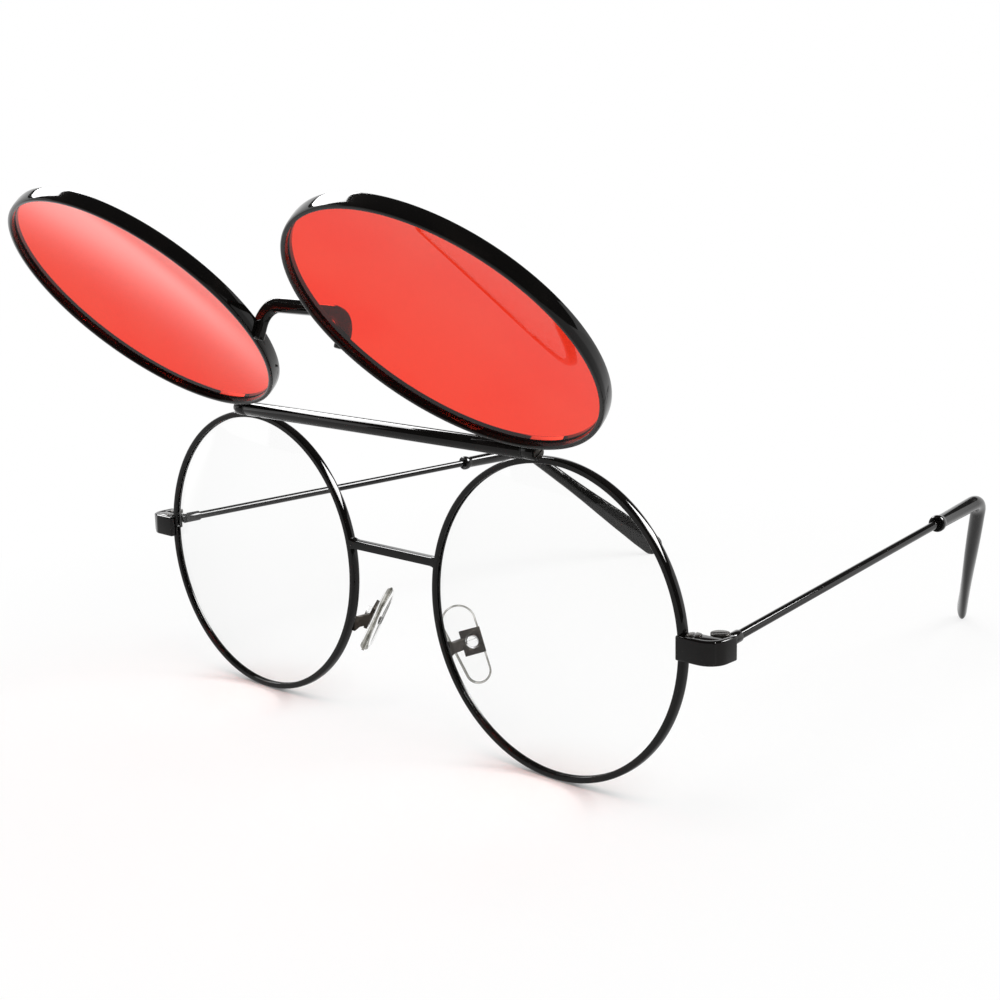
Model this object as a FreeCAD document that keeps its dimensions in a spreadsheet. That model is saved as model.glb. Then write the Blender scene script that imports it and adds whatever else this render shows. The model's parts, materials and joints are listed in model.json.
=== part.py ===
import FreeCAD, Part
import math
import os
import re

import Sketcher
from FreeCAD import Matrix, Placement, Rotation, Vector

# Flip-up sunglasses, in millimetres. +X is the viewer's right, +Y runs back along the temples, +Z is up.
# The rims and the temple tips stand on z = 0, with the temples open and the red front raised.

SIZES = [
    # rims and lenses
    ("rim_radius", 25.0),
    ("lens_spacing", 68.4),
    ("rim_wall", 1.1),
    ("flip_rim_wall", 0.85),
    ("rim_depth", 1.6),
    ("flip_rim_depth", 2.5),
    ("rim_edge_round", 0.3),
    ("groove_width", 0.9),
    ("groove_depth", 0.45),
    ("lens_play", 0.05),
    ("lens_curve_radius", 150.0),
    ("clear_lens_thickness", 1.4),
    ("red_lens_thickness", 0.9),
    # nose bridge
    ("bridge_height", 5.1),
    ("bridge_thickness", 1.2),
    # flip hinge
    ("hinge_rise", 1.1),
    ("hinge_reach", 3.0),
    ("bar_radius", 1.25),
    ("bar_length", 63.8),
    ("pivot_radius", 0.55),
    ("pivot_depth", 4.0),
    ("pivot_head_radius", 0.95),
    ("pivot_head_height", 0.4),
    ("running_fit", 0.05),
    ("press_fit_play", 0.02),
    ("washer_thickness", 0.3),
    ("knuckle_width", 2.2),
    ("knuckle_neck", 1.2),
    ("saddle_width", 2.0),
    ("saddle_height", 1.4),
    ("saddle_inset", 1.6),
    # flip front
    ("flip_gap", 1.9),
    ("flip_offset", 0.3),
    ("flip_angle", 136.5),
    ("arch_height", 5.2),
    ("arch_bulge", 4.6),
    ("arch_bend", 3.4),
    ("arch_tilt", 25.0),
    ("arch_width", 1.2),
    ("arch_thickness", 2.0),
    # endpieces and closing blocks
    ("endpiece_height", 1.0),
    ("strap_thickness", 1.0),
    ("strap_width", 3.6),
    ("strap_lap", 0.8),
    ("strap_span", 6.0),
    ("strap_depth", 5.4),
    ("strap_bend", 3.0),
    ("block_length", 2.3),
    ("block_depth", 1.9),
    ("split_gap", 0.2),
    ("rim_screw_radius", 0.45),
    ("rim_screw_head_radius", 0.8),
    ("screw_head_height", 0.45),
    # temple hinges
    ("barrel_radius", 1.15),
    ("hinge_inset", 1.5),
    ("hinge_setback", 0.6),
    ("middle_barrel_height", 1.2),
    ("barrel_gap", 0.05),
    ("hinge_leaf_thickness", 0.6),
    ("hinge_pin_radius", 0.5),
    ("hinge_head_radius", 0.85),
    # temples
    ("wire_radius", 0.7),
    ("temple_length", 90.2),
    ("temple_toe_in", 4.8),
    ("right_temple_rise", 2.6),
    ("left_temple_rise", 0.2),
    ("tail_height", 0.95),
    ("tail_width", 1.4),
    ("tail_lap", 0.55),
    ("ferrule_radius", 0.92),
    ("ferrule_start", 1.7),
    ("ferrule_length", 3.2),
    ("wire_insert", 2.6),
    ("bend_radius", 7.0),
    ("tip_length", 38.4),
    ("tip_end_length", 2.6),
    ("tip_turn_in", 32.3),
    ("sleeve_length", 18.8),
    ("mouth_radius", 1.45),
    ("mouth_length", 1.6),
    ("sleeve_radius", 1.15),
    ("bend_sleeve_radius", 1.3),
    ("paddle_width", 4.6),
    ("paddle_thickness", 2.7),
    ("wire_end_gap", 5.0),
    # nose pads and their arms
    ("pad_inset", 0.13),
    ("pad_back", 6.4),
    ("pad_down", 9.5),
    ("pad_frontal_angle", 27.8),
    ("pad_lean", 6.4),
    ("pad_splay_angle", 32.0),
    ("pad_turn_angle", -6.2),
    ("pad_length", 13.5),
    ("pad_shift", 0.7),
    ("pad_top_radius", 2.86),
    ("pad_bottom_radius", 2.1),
    ("pad_thickness", 1.8),
    ("pad_round", 0.6),
    ("plate_length", 4.2),
    ("plate_width", 3.4),
    ("plate_thickness", 0.6),
    ("plate_gap", 0.12),
    ("stud_radius", 0.9),
    ("stud_head_radius", 1.25),
    ("stud_head_height", 0.7),
    ("arm_width", 1.8),
    ("arm_foot_width", 2.8),
    ("arm_foot_length", 1.1),
    ("arm_thickness", 0.8),
]
ALIASES = {alias for alias, _ in SIZES}

os.makedirs("parts", exist_ok=True)
doc = FreeCAD.newDocument("flip_up_sunglasses")
sheet = doc.addObject("Spreadsheet::Sheet", "Sizes")
for row, (alias, value) in enumerate(SIZES, 1):
    sheet.set(f"A{row}", alias)
    sheet.set(f"B{row}", str(value))
    sheet.setAlias(f"B{row}", alias)
doc.recompute()

# Every finished sub-part by its node name.
nodes = {}


def size(expression):
    """The number that an expression in the sheet's aliases has now."""
    return float(sheet.evalExpression(expression))


def linked(expression):
    """The same expression as another object of the document reads it."""
    return re.sub(r"[a-z_]+", lambda m: f"Sizes.{m[0]}" if m[0] in ALIASES else m[0], expression)


def bind(target, **properties):
    """Tie properties of an object to expressions in the sheet's aliases."""
    for name, expression in properties.items():
        target.setExpression(name.replace("__", "."), linked(expression))
    return target


def keep(name, target, placement=None):
    """Name a finished sub-part and put it in its place."""
    target.Label = name
    if placement is not None:
        target.Placement = placement
    nodes[name] = target
    return target


def mirrored(name, source):
    """The left-hand twin of a right-hand sub-part, across the plane X = 0."""
    twin = doc.addObject("Part::Mirroring", f"{name}_mirror")
    twin.Source = source
    twin.Normal = (1, 0, 0)
    twin.Base = (0, 0, 0)
    return keep(name, twin)


def frame(origin, x_axis, y_axis):
    """A placement with its X axis along x_axis and its Y axis as near y_axis as it can be."""
    x = Vector(x_axis).normalize()
    z = x.cross(Vector(y_axis)).normalize()
    y = z.cross(x)
    turn = Matrix(x.x, y.x, z.x, 0, x.y, y.y, z.y, 0, x.z, y.z, z.z, 0, 0, 0, 0, 1)
    return Placement(Vector(origin), Rotation(turn))


def sketch_on(body, role):
    """A new sketch on one of the body's own origin planes."""
    sketch = body.newObject("Sketcher::SketchObject", f"{body.Name}_sketch")
    plane = next(item for item in body.Origin.OriginFeatures if item.Role == role)
    sketch.AttachmentSupport = [(plane, "")]
    sketch.MapMode = "FlatFace"
    return sketch


def hold(sketch, kind, first, expression):
    """Add one dimension to a sketch and tie it to the sheet."""
    index = sketch.addConstraint(Sketcher.Constraint(kind, *first, size(expression)))
    sketch.setExpression(f"Constraints[{index}]", linked(expression))


def outline(sketch, corners, arcs=()):
    """A closed outline through corners, each a pair of expressions.

    arcs maps a corner's index to the arc that leaves it: its centre's two expressions, its radius and
    whether it runs counter-clockwise.
    """
    arcs = dict(arcs)
    points = [Vector(size(x), size(y), 0) for x, y in corners]
    ends = []
    for index, start in enumerate(points):
        stop = points[(index + 1) % len(points)]
        if index in arcs:
            centre_x, centre_y, radius, forward = arcs[index]
            centre = Vector(size(centre_x), size(centre_y), 0)
            angles = [math.atan2(p.y - centre.y, p.x - centre.x) for p in (start, stop)]
            if not forward:
                angles.reverse()
            if angles[1] < angles[0]:
                angles[1] += 2 * math.pi
            circle = Part.Circle(centre, Vector(0, 0, 1), size(radius))
            geometry = sketch.addGeometry(Part.ArcOfCircle(circle, *angles))
            hold(sketch, "Radius", (geometry,), radius)
            ends.append((geometry, 1, 2) if forward else (geometry, 2, 1))
        else:
            ends.append((sketch.addGeometry(Part.LineSegment(start, stop)), 1, 2))
    for index, (geometry, _, last) in enumerate(ends):
        following, first, _ = ends[(index + 1) % len(ends)]
        sketch.addConstraint(Sketcher.Constraint("Coincident", geometry, last, following, first))
    for (geometry, first, _), (x, y) in zip(ends, corners):
        hold(sketch, "DistanceX", (-1, 1, geometry, first), x)
        hold(sketch, "DistanceY", (-1, 1, geometry, first), y)


def circle_at(sketch, radius, x="0", y="0"):
    """A circle in a sketch with its radius and centre tied to the sheet."""
    centre = Vector(size(x), size(y), 0)
    geometry = sketch.addGeometry(Part.Circle(centre, Vector(0, 0, 1), size(radius)))
    hold(sketch, "Radius", (geometry,), radius)
    hold(sketch, "DistanceX", (-1, 1, geometry, 3), x)
    hold(sketch, "DistanceY", (-1, 1, geometry, 3), y)


def revolved(name, sketch_maker, role="XY_Plane", axis="V_Axis"):
    """A body turned once round an axis of its sketch."""
    body = doc.addObject("PartDesign::Body", name)
    sketch = sketch_on(body, role)
    sketch_maker(sketch)
    turn = body.newObject("PartDesign::Revolution", f"{name}_turn")
    turn.Profile = sketch
    turn.ReferenceAxis = (sketch, [axis])
    turn.Angle = 360
    doc.recompute()
    return body


def padded(name, sketch_maker, length, role="XY_Plane", symmetric=True):
    """A body made by pushing one sketch out to a length."""
    body = doc.addObject("PartDesign::Body", name)
    sketch = sketch_on(body, role)
    sketch_maker(sketch)
    pad = body.newObject("PartDesign::Pad", f"{name}_pad")
    pad.Profile = sketch
    pad.SideType = "Symmetric" if symmetric else "One side"
    bind(pad, Length=length)
    doc.recompute()
    return body


def rounded(body, radius, chosen):
    """Round the edges of a body for which chosen(edge) is true."""
    base = body.Tip
    edges = [f"Edge{i}" for i, edge in enumerate(base.Shape.Edges, 1) if chosen(edge)]
    fillet = body.newObject("PartDesign::Fillet", f"{body.Name}_round")
    fillet.Base = (base, edges)
    bind(fillet, Radius=radius)
    doc.recompute()
    return body


def box(name, wide, deep, tall, x, y, z):
    """A box with its lowest corner at x, y, z."""
    block = doc.addObject("Part::Box", name)
    return bind(block, Length=wide, Width=deep, Height=tall,
                Placement__Base__x=x, Placement__Base__y=y, Placement__Base__z=z)


def rod(name, radius, length, x, y, z, axis=Vector(0, 0, 1)):
    """A cylinder that starts at x, y, z and runs along an axis."""
    cylinder = doc.addObject("Part::Cylinder", name)
    cylinder.Placement = Placement(Vector(), Rotation(Vector(0, 0, 1), axis))
    return bind(cylinder, Radius=radius, Height=length,
                Placement__Base__x=x, Placement__Base__y=y, Placement__Base__z=z)


def joined(name, *shapes):
    """One solid from shapes that run into each other."""
    fuse = doc.addObject("Part::MultiFuse", name)
    fuse.Shapes = list(shapes)
    fuse.Refine = True
    return fuse


def cut(name, base, *tools):
    """A shape less the tools."""
    result = base
    for index, tool in enumerate(tools):
        step = doc.addObject("Part::Cut", f"{name}_{index}")
        step.Base = result
        step.Tool = tool
        result = step
    return result


# Places that several sub-parts share. The working frame has its origin between the lens centres.
LENS_X = "(lens_spacing / 2)"
RIM_EDGE_X = f"({LENS_X} + rim_radius)"
FRONT_Y = "(-rim_depth / 2)"
HINGE_Z = "(rim_radius + hinge_rise)"
FLIP_DROP = "(rim_radius + flip_gap)"
STRAP_OUT_X = f"({RIM_EDGE_X} + strap_span)"
STRAP_IN_X = f"({STRAP_OUT_X} - strap_thickness)"
STRAP_END_Y = f"({FRONT_Y} - strap_thickness + strap_depth)"
# The closing blocks and the hinge barrels are as much lower than the strap as the screw heads need.
STACK_LOW_Z = "(endpiece_height - strap_width / 2 + screw_head_height)"
STACK_TALL = "(strap_width - 2 * screw_head_height)"
AXIS_X = f"({STRAP_IN_X} - hinge_inset)"
AXIS_Y = f"({STRAP_END_Y} - hinge_setback)"
PIN_BORE = "(hinge_pin_radius + running_fit)"
KNUCKLE_X = "(bar_length / 2 + washer_thickness)"
PAD_X = f"({LENS_X} - sqrt(rim_radius ^ 2 - pad_down ^ 2) + pad_inset)"

turned = math.radians(size("flip_angle"))


def flip_reach():
    """How far in front of the lenses the raised red front comes."""
    corner_round = size("rim_edge_round")
    rise = size(FLIP_DROP) + size("rim_radius") - corner_round
    half_depth = size("flip_rim_depth") / 2 - corner_round
    faces = (-size("flip_offset") - half_depth, -size("flip_offset") + half_depth)
    lean = max(-face * math.cos(turned) for face in faces)
    return size("hinge_reach") + rise * math.sin(turned) + lean + corner_round


def end_reach(direction, down, side):
    """How far the rounded end of a tip reaches from its centre along a direction."""
    flat = down.cross(side)
    axes = ((size("tip_end_length"), down), (size("paddle_width") / 2, side),
            (size("paddle_thickness") / 2, flat))
    return math.sqrt(sum((length * axis.dot(direction)) ** 2 for length, axis in axes))


class TempleLine:
    """The line of one temple, drawn on the right-hand side; the left temple is drawn so and then mirrored.

    Its own frame has X along the wire from the hinge, and Y towards the tip; the level frame has Y upwards.
    """

    def __init__(self, rise_size):
        toe = math.radians(size("temple_toe_in"))
        rise = math.radians(size(rise_size))
        along = Vector(-math.sin(toe) * math.cos(rise), math.cos(toe) * math.cos(rise), math.sin(rise))
        self.start = Vector(size(AXIS_X), size(AXIS_Y), size("endpiece_height"))
        corner = self.start + along * size("temple_length")
        turn_in = math.radians(size("tip_turn_in"))
        foot = size("paddle_thickness") / 2
        # The slope that rests the tip on the floor is found in rounds: the rounded end turns with it.
        for _ in range(40):
            fall = math.asin((corner.z + size("rim_radius") - foot) / size("tip_length"))
            level = Vector(-math.sin(turn_in), math.cos(turn_in), 0)
            down = level * math.cos(fall) - Vector(0, 0, math.sin(fall))
            side = (along - down * along.dot(down)).normalize()
            foot = end_reach(Vector(0, 0, 1), down, side)
        self.back_reach = (corner + down * size("tip_length")).y + end_reach(Vector(0, 1, 0), down, side)
        self.place = frame(self.start, along, down)
        self.level = frame(self.start, along, Vector(0, 0, 1))
        self.turn = math.acos(along.dot(down))
        self.bend = f"{math.degrees(self.turn)} deg"
        self.straight = f"(temple_length - bend_radius * tan({self.bend} / 2))"
        self.tip_straight = f"(tip_length - bend_radius * tan({self.bend} / 2))"


temple_lines = {name: TempleLine(f"{name}_temple_rise") for name in ("right", "left")}
back_reach = max(line.back_reach for line in temple_lines.values())
shift = Vector(0, (flip_reach() - back_reach) / 2, size("rim_radius"))

front = Placement(shift, Rotation())
flip = Placement(shift + Vector(0, -size("hinge_reach"), size(HINGE_Z)),
                 Rotation(Vector(-1, 0, 0), size("flip_angle")))


def at_lens(side):
    """A rim's centre in the fixed front."""
    return front.multiply(Placement(Vector(side * size(LENS_X), 0, 0), Rotation()))


def at_flip_lens(side):
    """A rim's centre in the flip front."""
    place = Vector(side * size(LENS_X), -size("flip_offset"), -size(FLIP_DROP))
    return flip.multiply(Placement(place, Rotation()))


SIDES = (("right", 1), ("left", -1))


def rim_profile(wall, depth):
    """The eyewire's section: a flat bar with a V-groove in its inner side."""
    inner = f"(rim_radius - {wall})"
    corners = [
        (inner, f"-{depth} / 2"), ("rim_radius", f"-{depth} / 2"),
        ("rim_radius", f"{depth} / 2"), (inner, f"{depth} / 2"),
        (inner, "groove_width / 2"), (f"{inner} + groove_depth", "0"), (inner, "-groove_width / 2"),
    ]
    return lambda sketch: outline(sketch, corners)


def make_rim(name, wall, depth):
    """An eyewire with its two outer edges rounded."""
    body = revolved(name, rim_profile(wall, depth))
    outer = size("rim_radius") * 0.999
    return rounded(body, "rim_edge_round",
                   lambda edge: hasattr(edge.Curve, "Radius") and edge.Curve.Radius > outer)


def make_rims():
    """Four eyewires. The fixed ones are split where the closing blocks meet."""
    for name, side in SIDES:
        rim = make_rim(f"{name}_rim_ring", "rim_wall", "rim_depth")
        slot = box(f"{name}_rim_slot", "rim_radius / 2", "rim_depth * 2", "split_gap",
                   f"rim_radius * 3 / 4 + {(side - 1) / 2} * rim_radius * 2",
                   "-rim_depth", "endpiece_height - split_gap / 2")
        keep(f"{name}_rim", cut(f"{name}_split_rim", rim, slot), at_lens(side))
        flip_rim = make_rim(f"{name}_flip_ring", "flip_rim_wall", "flip_rim_depth")
        keep(f"{name}_flip_rim", flip_rim, at_flip_lens(side))


def lens_profile(wall, thickness):
    """A meniscus section with a V-bevel, its bevel's point on the rim's middle plane."""
    edge = f"(rim_radius - {wall} - lens_play)"
    bevel = "(groove_width / 2 - lens_play)"
    centre = f"sqrt(lens_curve_radius ^ 2 - {edge} ^ 2)"
    near = f"(lens_curve_radius + {thickness} / 2)"
    far = f"(lens_curve_radius - {thickness} / 2)"
    corners = [
        ("0", f"{centre} - {near}"),
        (edge, f"{centre} - sqrt({near} ^ 2 - {edge} ^ 2)"),
        (edge, f"-{bevel}"),
        (f"{edge} + groove_depth", "0"),
        (edge, bevel),
        (edge, f"{centre} - sqrt({far} ^ 2 - {edge} ^ 2)"),
        ("0", f"{centre} - {far}"),
    ]
    arcs = {0: ("0", centre, near, True), 5: ("0", centre, far, False)}
    return lambda sketch: outline(sketch, corners, arcs)


def make_lenses():
    """Two clear lenses and two red ones."""
    for name, side in SIDES:
        clear = revolved(f"{name}_clear_body", lens_profile("rim_wall", "clear_lens_thickness"))
        keep(f"{name}_clear_lens", clear, at_lens(side))
        red = revolved(f"{name}_red_body", lens_profile("flip_rim_wall", "red_lens_thickness"))
        keep(f"{name}_red_lens", red, at_flip_lens(side))


def rim_disc(name, side, y="0", z="0"):
    """A full disc of the rim's outer radius, to seat pieces on the rim's outer face."""
    return rod(name, "rim_radius", "rim_radius", f"{side} * {LENS_X}", f"{y} - rim_radius / 2", z,
               Vector(0, 1, 0))


def make_nose_bridge():
    """The straight bar between the rims."""
    bar = box("bridge_bar", "lens_spacing", "rim_depth", "bridge_thickness",
              "-lens_spacing / 2", FRONT_Y, "bridge_height - bridge_thickness / 2")
    seats = [rim_disc(f"bridge_seat_{name}", side) for name, side in SIDES]
    keep("nose_bridge", cut("bridge", bar, *seats), front)


def make_top_bar():
    """The tube of the flip hinge, its end pins, washers and the saddles that hold it to the rims."""
    def ring(sketch):
        circle_at(sketch, "bar_radius")
        circle_at(sketch, "pivot_radius + press_fit_play")

    tube = padded("tube", ring, "bar_length", "YZ_Plane")
    axis = front.multiply(Placement(Vector(0, -size("hinge_reach"), size(HINGE_Z)), Rotation()))
    keep("top_bar", tube, axis)

    # The saddle reaches down to where the round rim is lowest under it.
    saddle_x = "(bar_length / 2 - saddle_inset - saddle_width / 2)"
    off_centre = f"(abs({LENS_X} - {saddle_x} - saddle_width / 2) + saddle_width / 2)"
    saddle_z = f"(sqrt(rim_radius ^ 2 - {off_centre} ^ 2) - saddle_height / 4)"
    saddle = box("saddle_block", "saddle_width", "hinge_reach + rim_depth / 2", f"{HINGE_Z} - {saddle_z}",
                 saddle_x, "-hinge_reach", saddle_z)
    tube_room = rod("saddle_tube", "bar_radius", "bar_length", "0", "-hinge_reach", HINGE_Z,
                    Vector(1, 0, 0))
    keep("right_bar_saddle", cut("saddle", saddle, tube_room, rim_disc("saddle_seat", 1)), front)

    shank = rod("pivot_shank", "pivot_radius", "pivot_depth + washer_thickness + knuckle_width",
                "bar_length / 2 - pivot_depth", "0", "0", Vector(1, 0, 0))
    head = rod("pivot_head", "pivot_head_radius", "pivot_head_height",
               f"{KNUCKLE_X} + knuckle_width + running_fit", "0", "0", Vector(1, 0, 0))
    bridge_rod = rod("pivot_collar", "pivot_radius", "running_fit * 2",
                     f"{KNUCKLE_X} + knuckle_width - running_fit / 2", "0", "0", Vector(1, 0, 0))
    keep("right_pivot_screw", joined("pivot", shank, bridge_rod, head), axis)

    disc = rod("washer_disc", "bar_radius", "washer_thickness - running_fit", "bar_length / 2", "0", "0",
               Vector(1, 0, 0))
    eye = rod("washer_eye", "pivot_radius + press_fit_play", "washer_thickness", "bar_length / 2", "0", "0",
              Vector(1, 0, 0))
    keep("right_pivot_washer", cut("washer", disc, eye), axis)
    for piece in ("bar_saddle", "pivot_screw", "pivot_washer"):
        mirrored(f"left_{piece}", nodes[f"right_{piece}"])


def make_flip_knuckles():
    """The end barrels of the flip front, each with a short neck on its rim."""
    barrel = rod("knuckle_barrel", "bar_radius", "knuckle_width", KNUCKLE_X, "0", "0", Vector(1, 0, 0))
    neck = box("knuckle_neck", "knuckle_width", "knuckle_neck", "flip_gap + rim_wall",
               KNUCKLE_X, "-flip_offset - knuckle_neck / 2", "-flip_gap - rim_wall")
    bore = rod("knuckle_bore", "pivot_radius + running_fit", "knuckle_width", KNUCKLE_X, "0", "0",
               Vector(1, 0, 0))
    seat = rim_disc("knuckle_seat", 1, "-flip_offset", f"-{FLIP_DROP}")
    whole = joined("knuckle_whole", barrel, neck)
    keep("right_flip_knuckle", cut("knuckle", whole, bore, seat), flip)
    mirrored("left_flip_knuckle", nodes["right_flip_knuckle"])


def make_flip_bridge():
    """The arched strap between the flip rims: two feet, two bends and a level back, bowed forwards."""
    half = f"({LENS_X} - sqrt(rim_radius ^ 2 - arch_height ^ 2))"
    out_x = f"({half} + arch_thickness / 2)"
    in_x = f"({half} - arch_thickness / 2)"
    bend_x = f"({half} - arch_bend)"
    bend_y = "(arch_bulge - arch_bend)"
    top_y = "(arch_bulge + arch_thickness / 2)"
    low_y = "(arch_bulge - arch_thickness / 2)"
    foot_y = "(-flip_rim_depth * 2 / 5)"
    outer_bend = "(arch_bend + arch_thickness / 2)"
    inner_bend = "(arch_bend - arch_thickness / 2)"
    corners = [(f"-{out_x}", foot_y), (f"-{out_x}", bend_y), (f"-{bend_x}", top_y), (bend_x, top_y),
               (out_x, bend_y), (out_x, foot_y), (in_x, foot_y), (in_x, bend_y), (bend_x, low_y),
               (f"-{bend_x}", low_y), (f"-{in_x}", bend_y), (f"-{in_x}", foot_y)]
    arcs = {1: (f"-{bend_x}", bend_y, outer_bend, False), 3: (bend_x, bend_y, outer_bend, False),
            7: (bend_x, bend_y, inner_bend, True), 9: (f"-{bend_x}", bend_y, inner_bend, True)}
    bow = padded("arch_bow", lambda sketch: outline(sketch, corners, arcs), "arch_width")
    rounded(bow, "arch_width / 4", lambda edge: abs(edge.CenterOfMass.z) > size("arch_width") * 0.49)
    tilt = math.radians(size("arch_tilt"))
    bulge = Vector(0, -math.cos(tilt), -math.sin(tilt))
    foot = Vector(0, -size("flip_offset"), size("arch_height") - size(FLIP_DROP))
    bow.Placement = frame(foot, Vector(1, 0, 0), bulge)
    # The feet lie along the rims' outer walls, and the bends pass over the rims' front faces.
    seats = []
    for name, side in SIDES:
        seats.append(rod(f"arch_seat_{name}", "rim_radius", "flip_rim_depth", f"{side} * {LENS_X}",
                         "-flip_offset - flip_rim_depth / 2", f"-{FLIP_DROP}", Vector(0, 1, 0)))
    keep("flip_bridge", cut("arch", bow, *seats), flip)


def make_endpieces():
    """The bent straps, the closing blocks behind them and the screws that close the rims."""
    front_face = f"({FRONT_Y} - strap_thickness)"
    inner_bend = "(strap_bend - strap_thickness)"
    bend_x = f"({STRAP_OUT_X} - strap_bend)"
    bend_y = f"({front_face} + strap_bend)"
    lap_x = f"({RIM_EDGE_X} - strap_lap)"
    corners = [(lap_x, front_face), (bend_x, front_face), (STRAP_OUT_X, bend_y), (STRAP_OUT_X, STRAP_END_Y),
               (STRAP_IN_X, STRAP_END_Y), (STRAP_IN_X, bend_y), (bend_x, FRONT_Y), (lap_x, FRONT_Y)]
    arcs = {1: (bend_x, bend_y, "strap_bend", True), 5: (bend_x, bend_y, inner_bend, False)}
    strap = padded("strap", lambda sketch: outline(sketch, corners, arcs), "strap_width")
    lap_at = size(lap_x)
    rounded(strap, "strap_thickness / 2",
            lambda edge: all(abs(v.X - lap_at) < 1e-4 for v in edge.Vertexes) and abs(edge.tangentAt(
                edge.FirstParameter).y) > 0.9)
    place = front.multiply(Placement(Vector(0, 0, size("endpiece_height")), Rotation()))
    keep("right_endpiece", strap, place)
    mirrored("left_endpiece", strap)

    tall = f"({STACK_TALL} / 2 - split_gap / 2)"
    screw_x = f"({RIM_EDGE_X} + block_length / 2)"
    screw_y = f"({FRONT_Y} + block_depth / 2)"
    levels = (("upper", "(endpiece_height + split_gap / 2)", "(rim_screw_radius + running_fit)"),
              ("lower", STACK_LOW_Z, "(rim_screw_radius + press_fit_play)"))
    for level, low, bore_radius in levels:
        block = box(f"{level}_block_box", "block_length + rim_wall", "block_depth", tall,
                    f"{RIM_EDGE_X} - rim_wall", FRONT_Y, low)
        bore = rod(f"{level}_block_bore", bore_radius, tall, screw_x, screw_y, low)
        seat = rim_disc(f"{level}_block_seat", 1)
        keep(f"right_{level}_closing_block", cut(f"{level}_block", block, bore, seat), front)
        mirrored(f"left_{level}_closing_block", nodes[f"right_{level}_closing_block"])

    shank = rod("rim_screw_shank", "rim_screw_radius", STACK_TALL, screw_x, screw_y, STACK_LOW_Z)
    head = rod("rim_screw_head", "rim_screw_head_radius", "screw_head_height", screw_x, screw_y,
               f"{STACK_LOW_Z} + {STACK_TALL}")
    keep("right_rim_screw", joined("rim_screw", shank, head), front)
    mirrored("left_rim_screw", nodes["right_rim_screw"])


def make_front_hinges():
    """The strap's half of each temple hinge, a leaf with two barrels, and the hinge screw."""
    tall = f"(({STACK_TALL} - middle_barrel_height) / 2 - barrel_gap)"
    leaf_x = f"({STRAP_IN_X} - hinge_leaf_thickness)"
    leaf_y = f"({FRONT_Y} + strap_bend - strap_thickness)"
    leaf_end = f"({AXIS_Y} - barrel_radius - barrel_gap * 4)"
    pieces = [box("hinge_leaf", "hinge_leaf_thickness", f"{leaf_end} - {leaf_y}", STACK_TALL,
                  leaf_x, leaf_y, STACK_LOW_Z)]
    for level, low in (("low", STACK_LOW_Z), ("high", f"({STACK_LOW_Z} + {STACK_TALL} - {tall})")):
        pieces.append(rod(f"{level}_barrel", "barrel_radius", tall, AXIS_X, AXIS_Y, low))
        pieces.append(box(f"{level}_web", f"{STRAP_IN_X} - {AXIS_X}", f"{AXIS_Y} - {leaf_end} + barrel_gap",
                          tall, AXIS_X, f"{leaf_end} - barrel_gap", low))
    bore = rod("front_hinge_bore", PIN_BORE, STACK_TALL, AXIS_X, AXIS_Y, STACK_LOW_Z)
    keep("right_front_hinge", cut("front_hinge", joined("front_hinge_whole", *pieces), bore), front)
    shank = rod("hinge_pin_shank", "hinge_pin_radius", STACK_TALL, AXIS_X, AXIS_Y, STACK_LOW_Z)
    head = rod("hinge_pin_head", "hinge_head_radius", "screw_head_height", AXIS_X, AXIS_Y,
               f"{STACK_LOW_Z} + {STACK_TALL}")
    keep("right_hinge_screw", joined("hinge_screw", shank, head), front)
    for piece in ("front_hinge", "hinge_screw"):
        mirrored(f"left_{piece}", nodes[f"right_{piece}"])


WIRE_START = "(ferrule_start + ferrule_length - wire_insert)"


def wire_path(sketch, line, first, last):
    """The wire's line: straight, one bend at the ear, and straight down the tip."""
    bend_x = f"{line.straight} + bend_radius * sin({line.bend})"
    bend_y = f"bend_radius * (1 - cos({line.bend}))"
    corners = [(first, "0"), (line.straight, "0"), (bend_x, bend_y),
               (f"{bend_x} + {last} * cos({line.bend})", f"{bend_y} + {last} * sin({line.bend})")]
    points = [Vector(size(x), size(y), 0) for x, y in corners]
    radius = size("bend_radius")
    circle = Part.Circle(Vector(points[1].x, radius, 0), Vector(0, 0, 1), radius)
    sketch.addGeometry(Part.LineSegment(points[0], points[1]))
    sketch.addGeometry(Part.ArcOfCircle(circle, -math.pi / 2, line.turn - math.pi / 2))
    sketch.addGeometry(Part.LineSegment(points[2], points[3]))
    for index in (0, 1):
        sketch.addConstraint(Sketcher.Constraint("Coincident", index, 2, index + 1, 1))
    hold(sketch, "Radius", (1,), "bend_radius")
    for geometry, position, (x, y) in ((0, 1, corners[0]), (0, 2, corners[1]), (2, 1, corners[2]),
                                       (2, 2, corners[3])):
        hold(sketch, "DistanceX", (-1, 1, geometry, position), x)
        hold(sketch, "DistanceY", (-1, 1, geometry, position), y)


def bent_wire(name, line, radius, first, last):
    """A round wire along the temple's line, from one distance on the straight to one on the tip."""
    body = doc.addObject("PartDesign::Body", name)
    path = sketch_on(body, "XY_Plane")
    wire_path(path, line, first, last)
    section = sketch_on(body, "YZ_Plane")
    section.AttachmentOffset = Placement(Vector(0, 0, size(first)), Rotation())
    section.setExpression("AttachmentOffset.Base.z", linked(first))
    circle_at(section, radius)
    pipe = body.newObject("PartDesign::AdditivePipe", f"{name}_pipe")
    pipe.Profile = section
    pipe.Spine = (path, ["Edge1", "Edge2", "Edge3"])
    doc.recompute()
    return body


def tip_place(line, distance):
    """A place on the tip's straight run: Z down the run, X across it in the temple's plane."""
    heading = Vector(math.cos(line.turn), math.sin(line.turn), 0)
    across = Vector(-heading.y, heading.x, 0)
    radius = size("bend_radius")
    bend_end = Vector(size(line.straight) + radius * heading.y, radius * (1 - heading.x), 0)
    return frame(bend_end + heading * distance, across, Vector(0, 0, 1))


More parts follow.
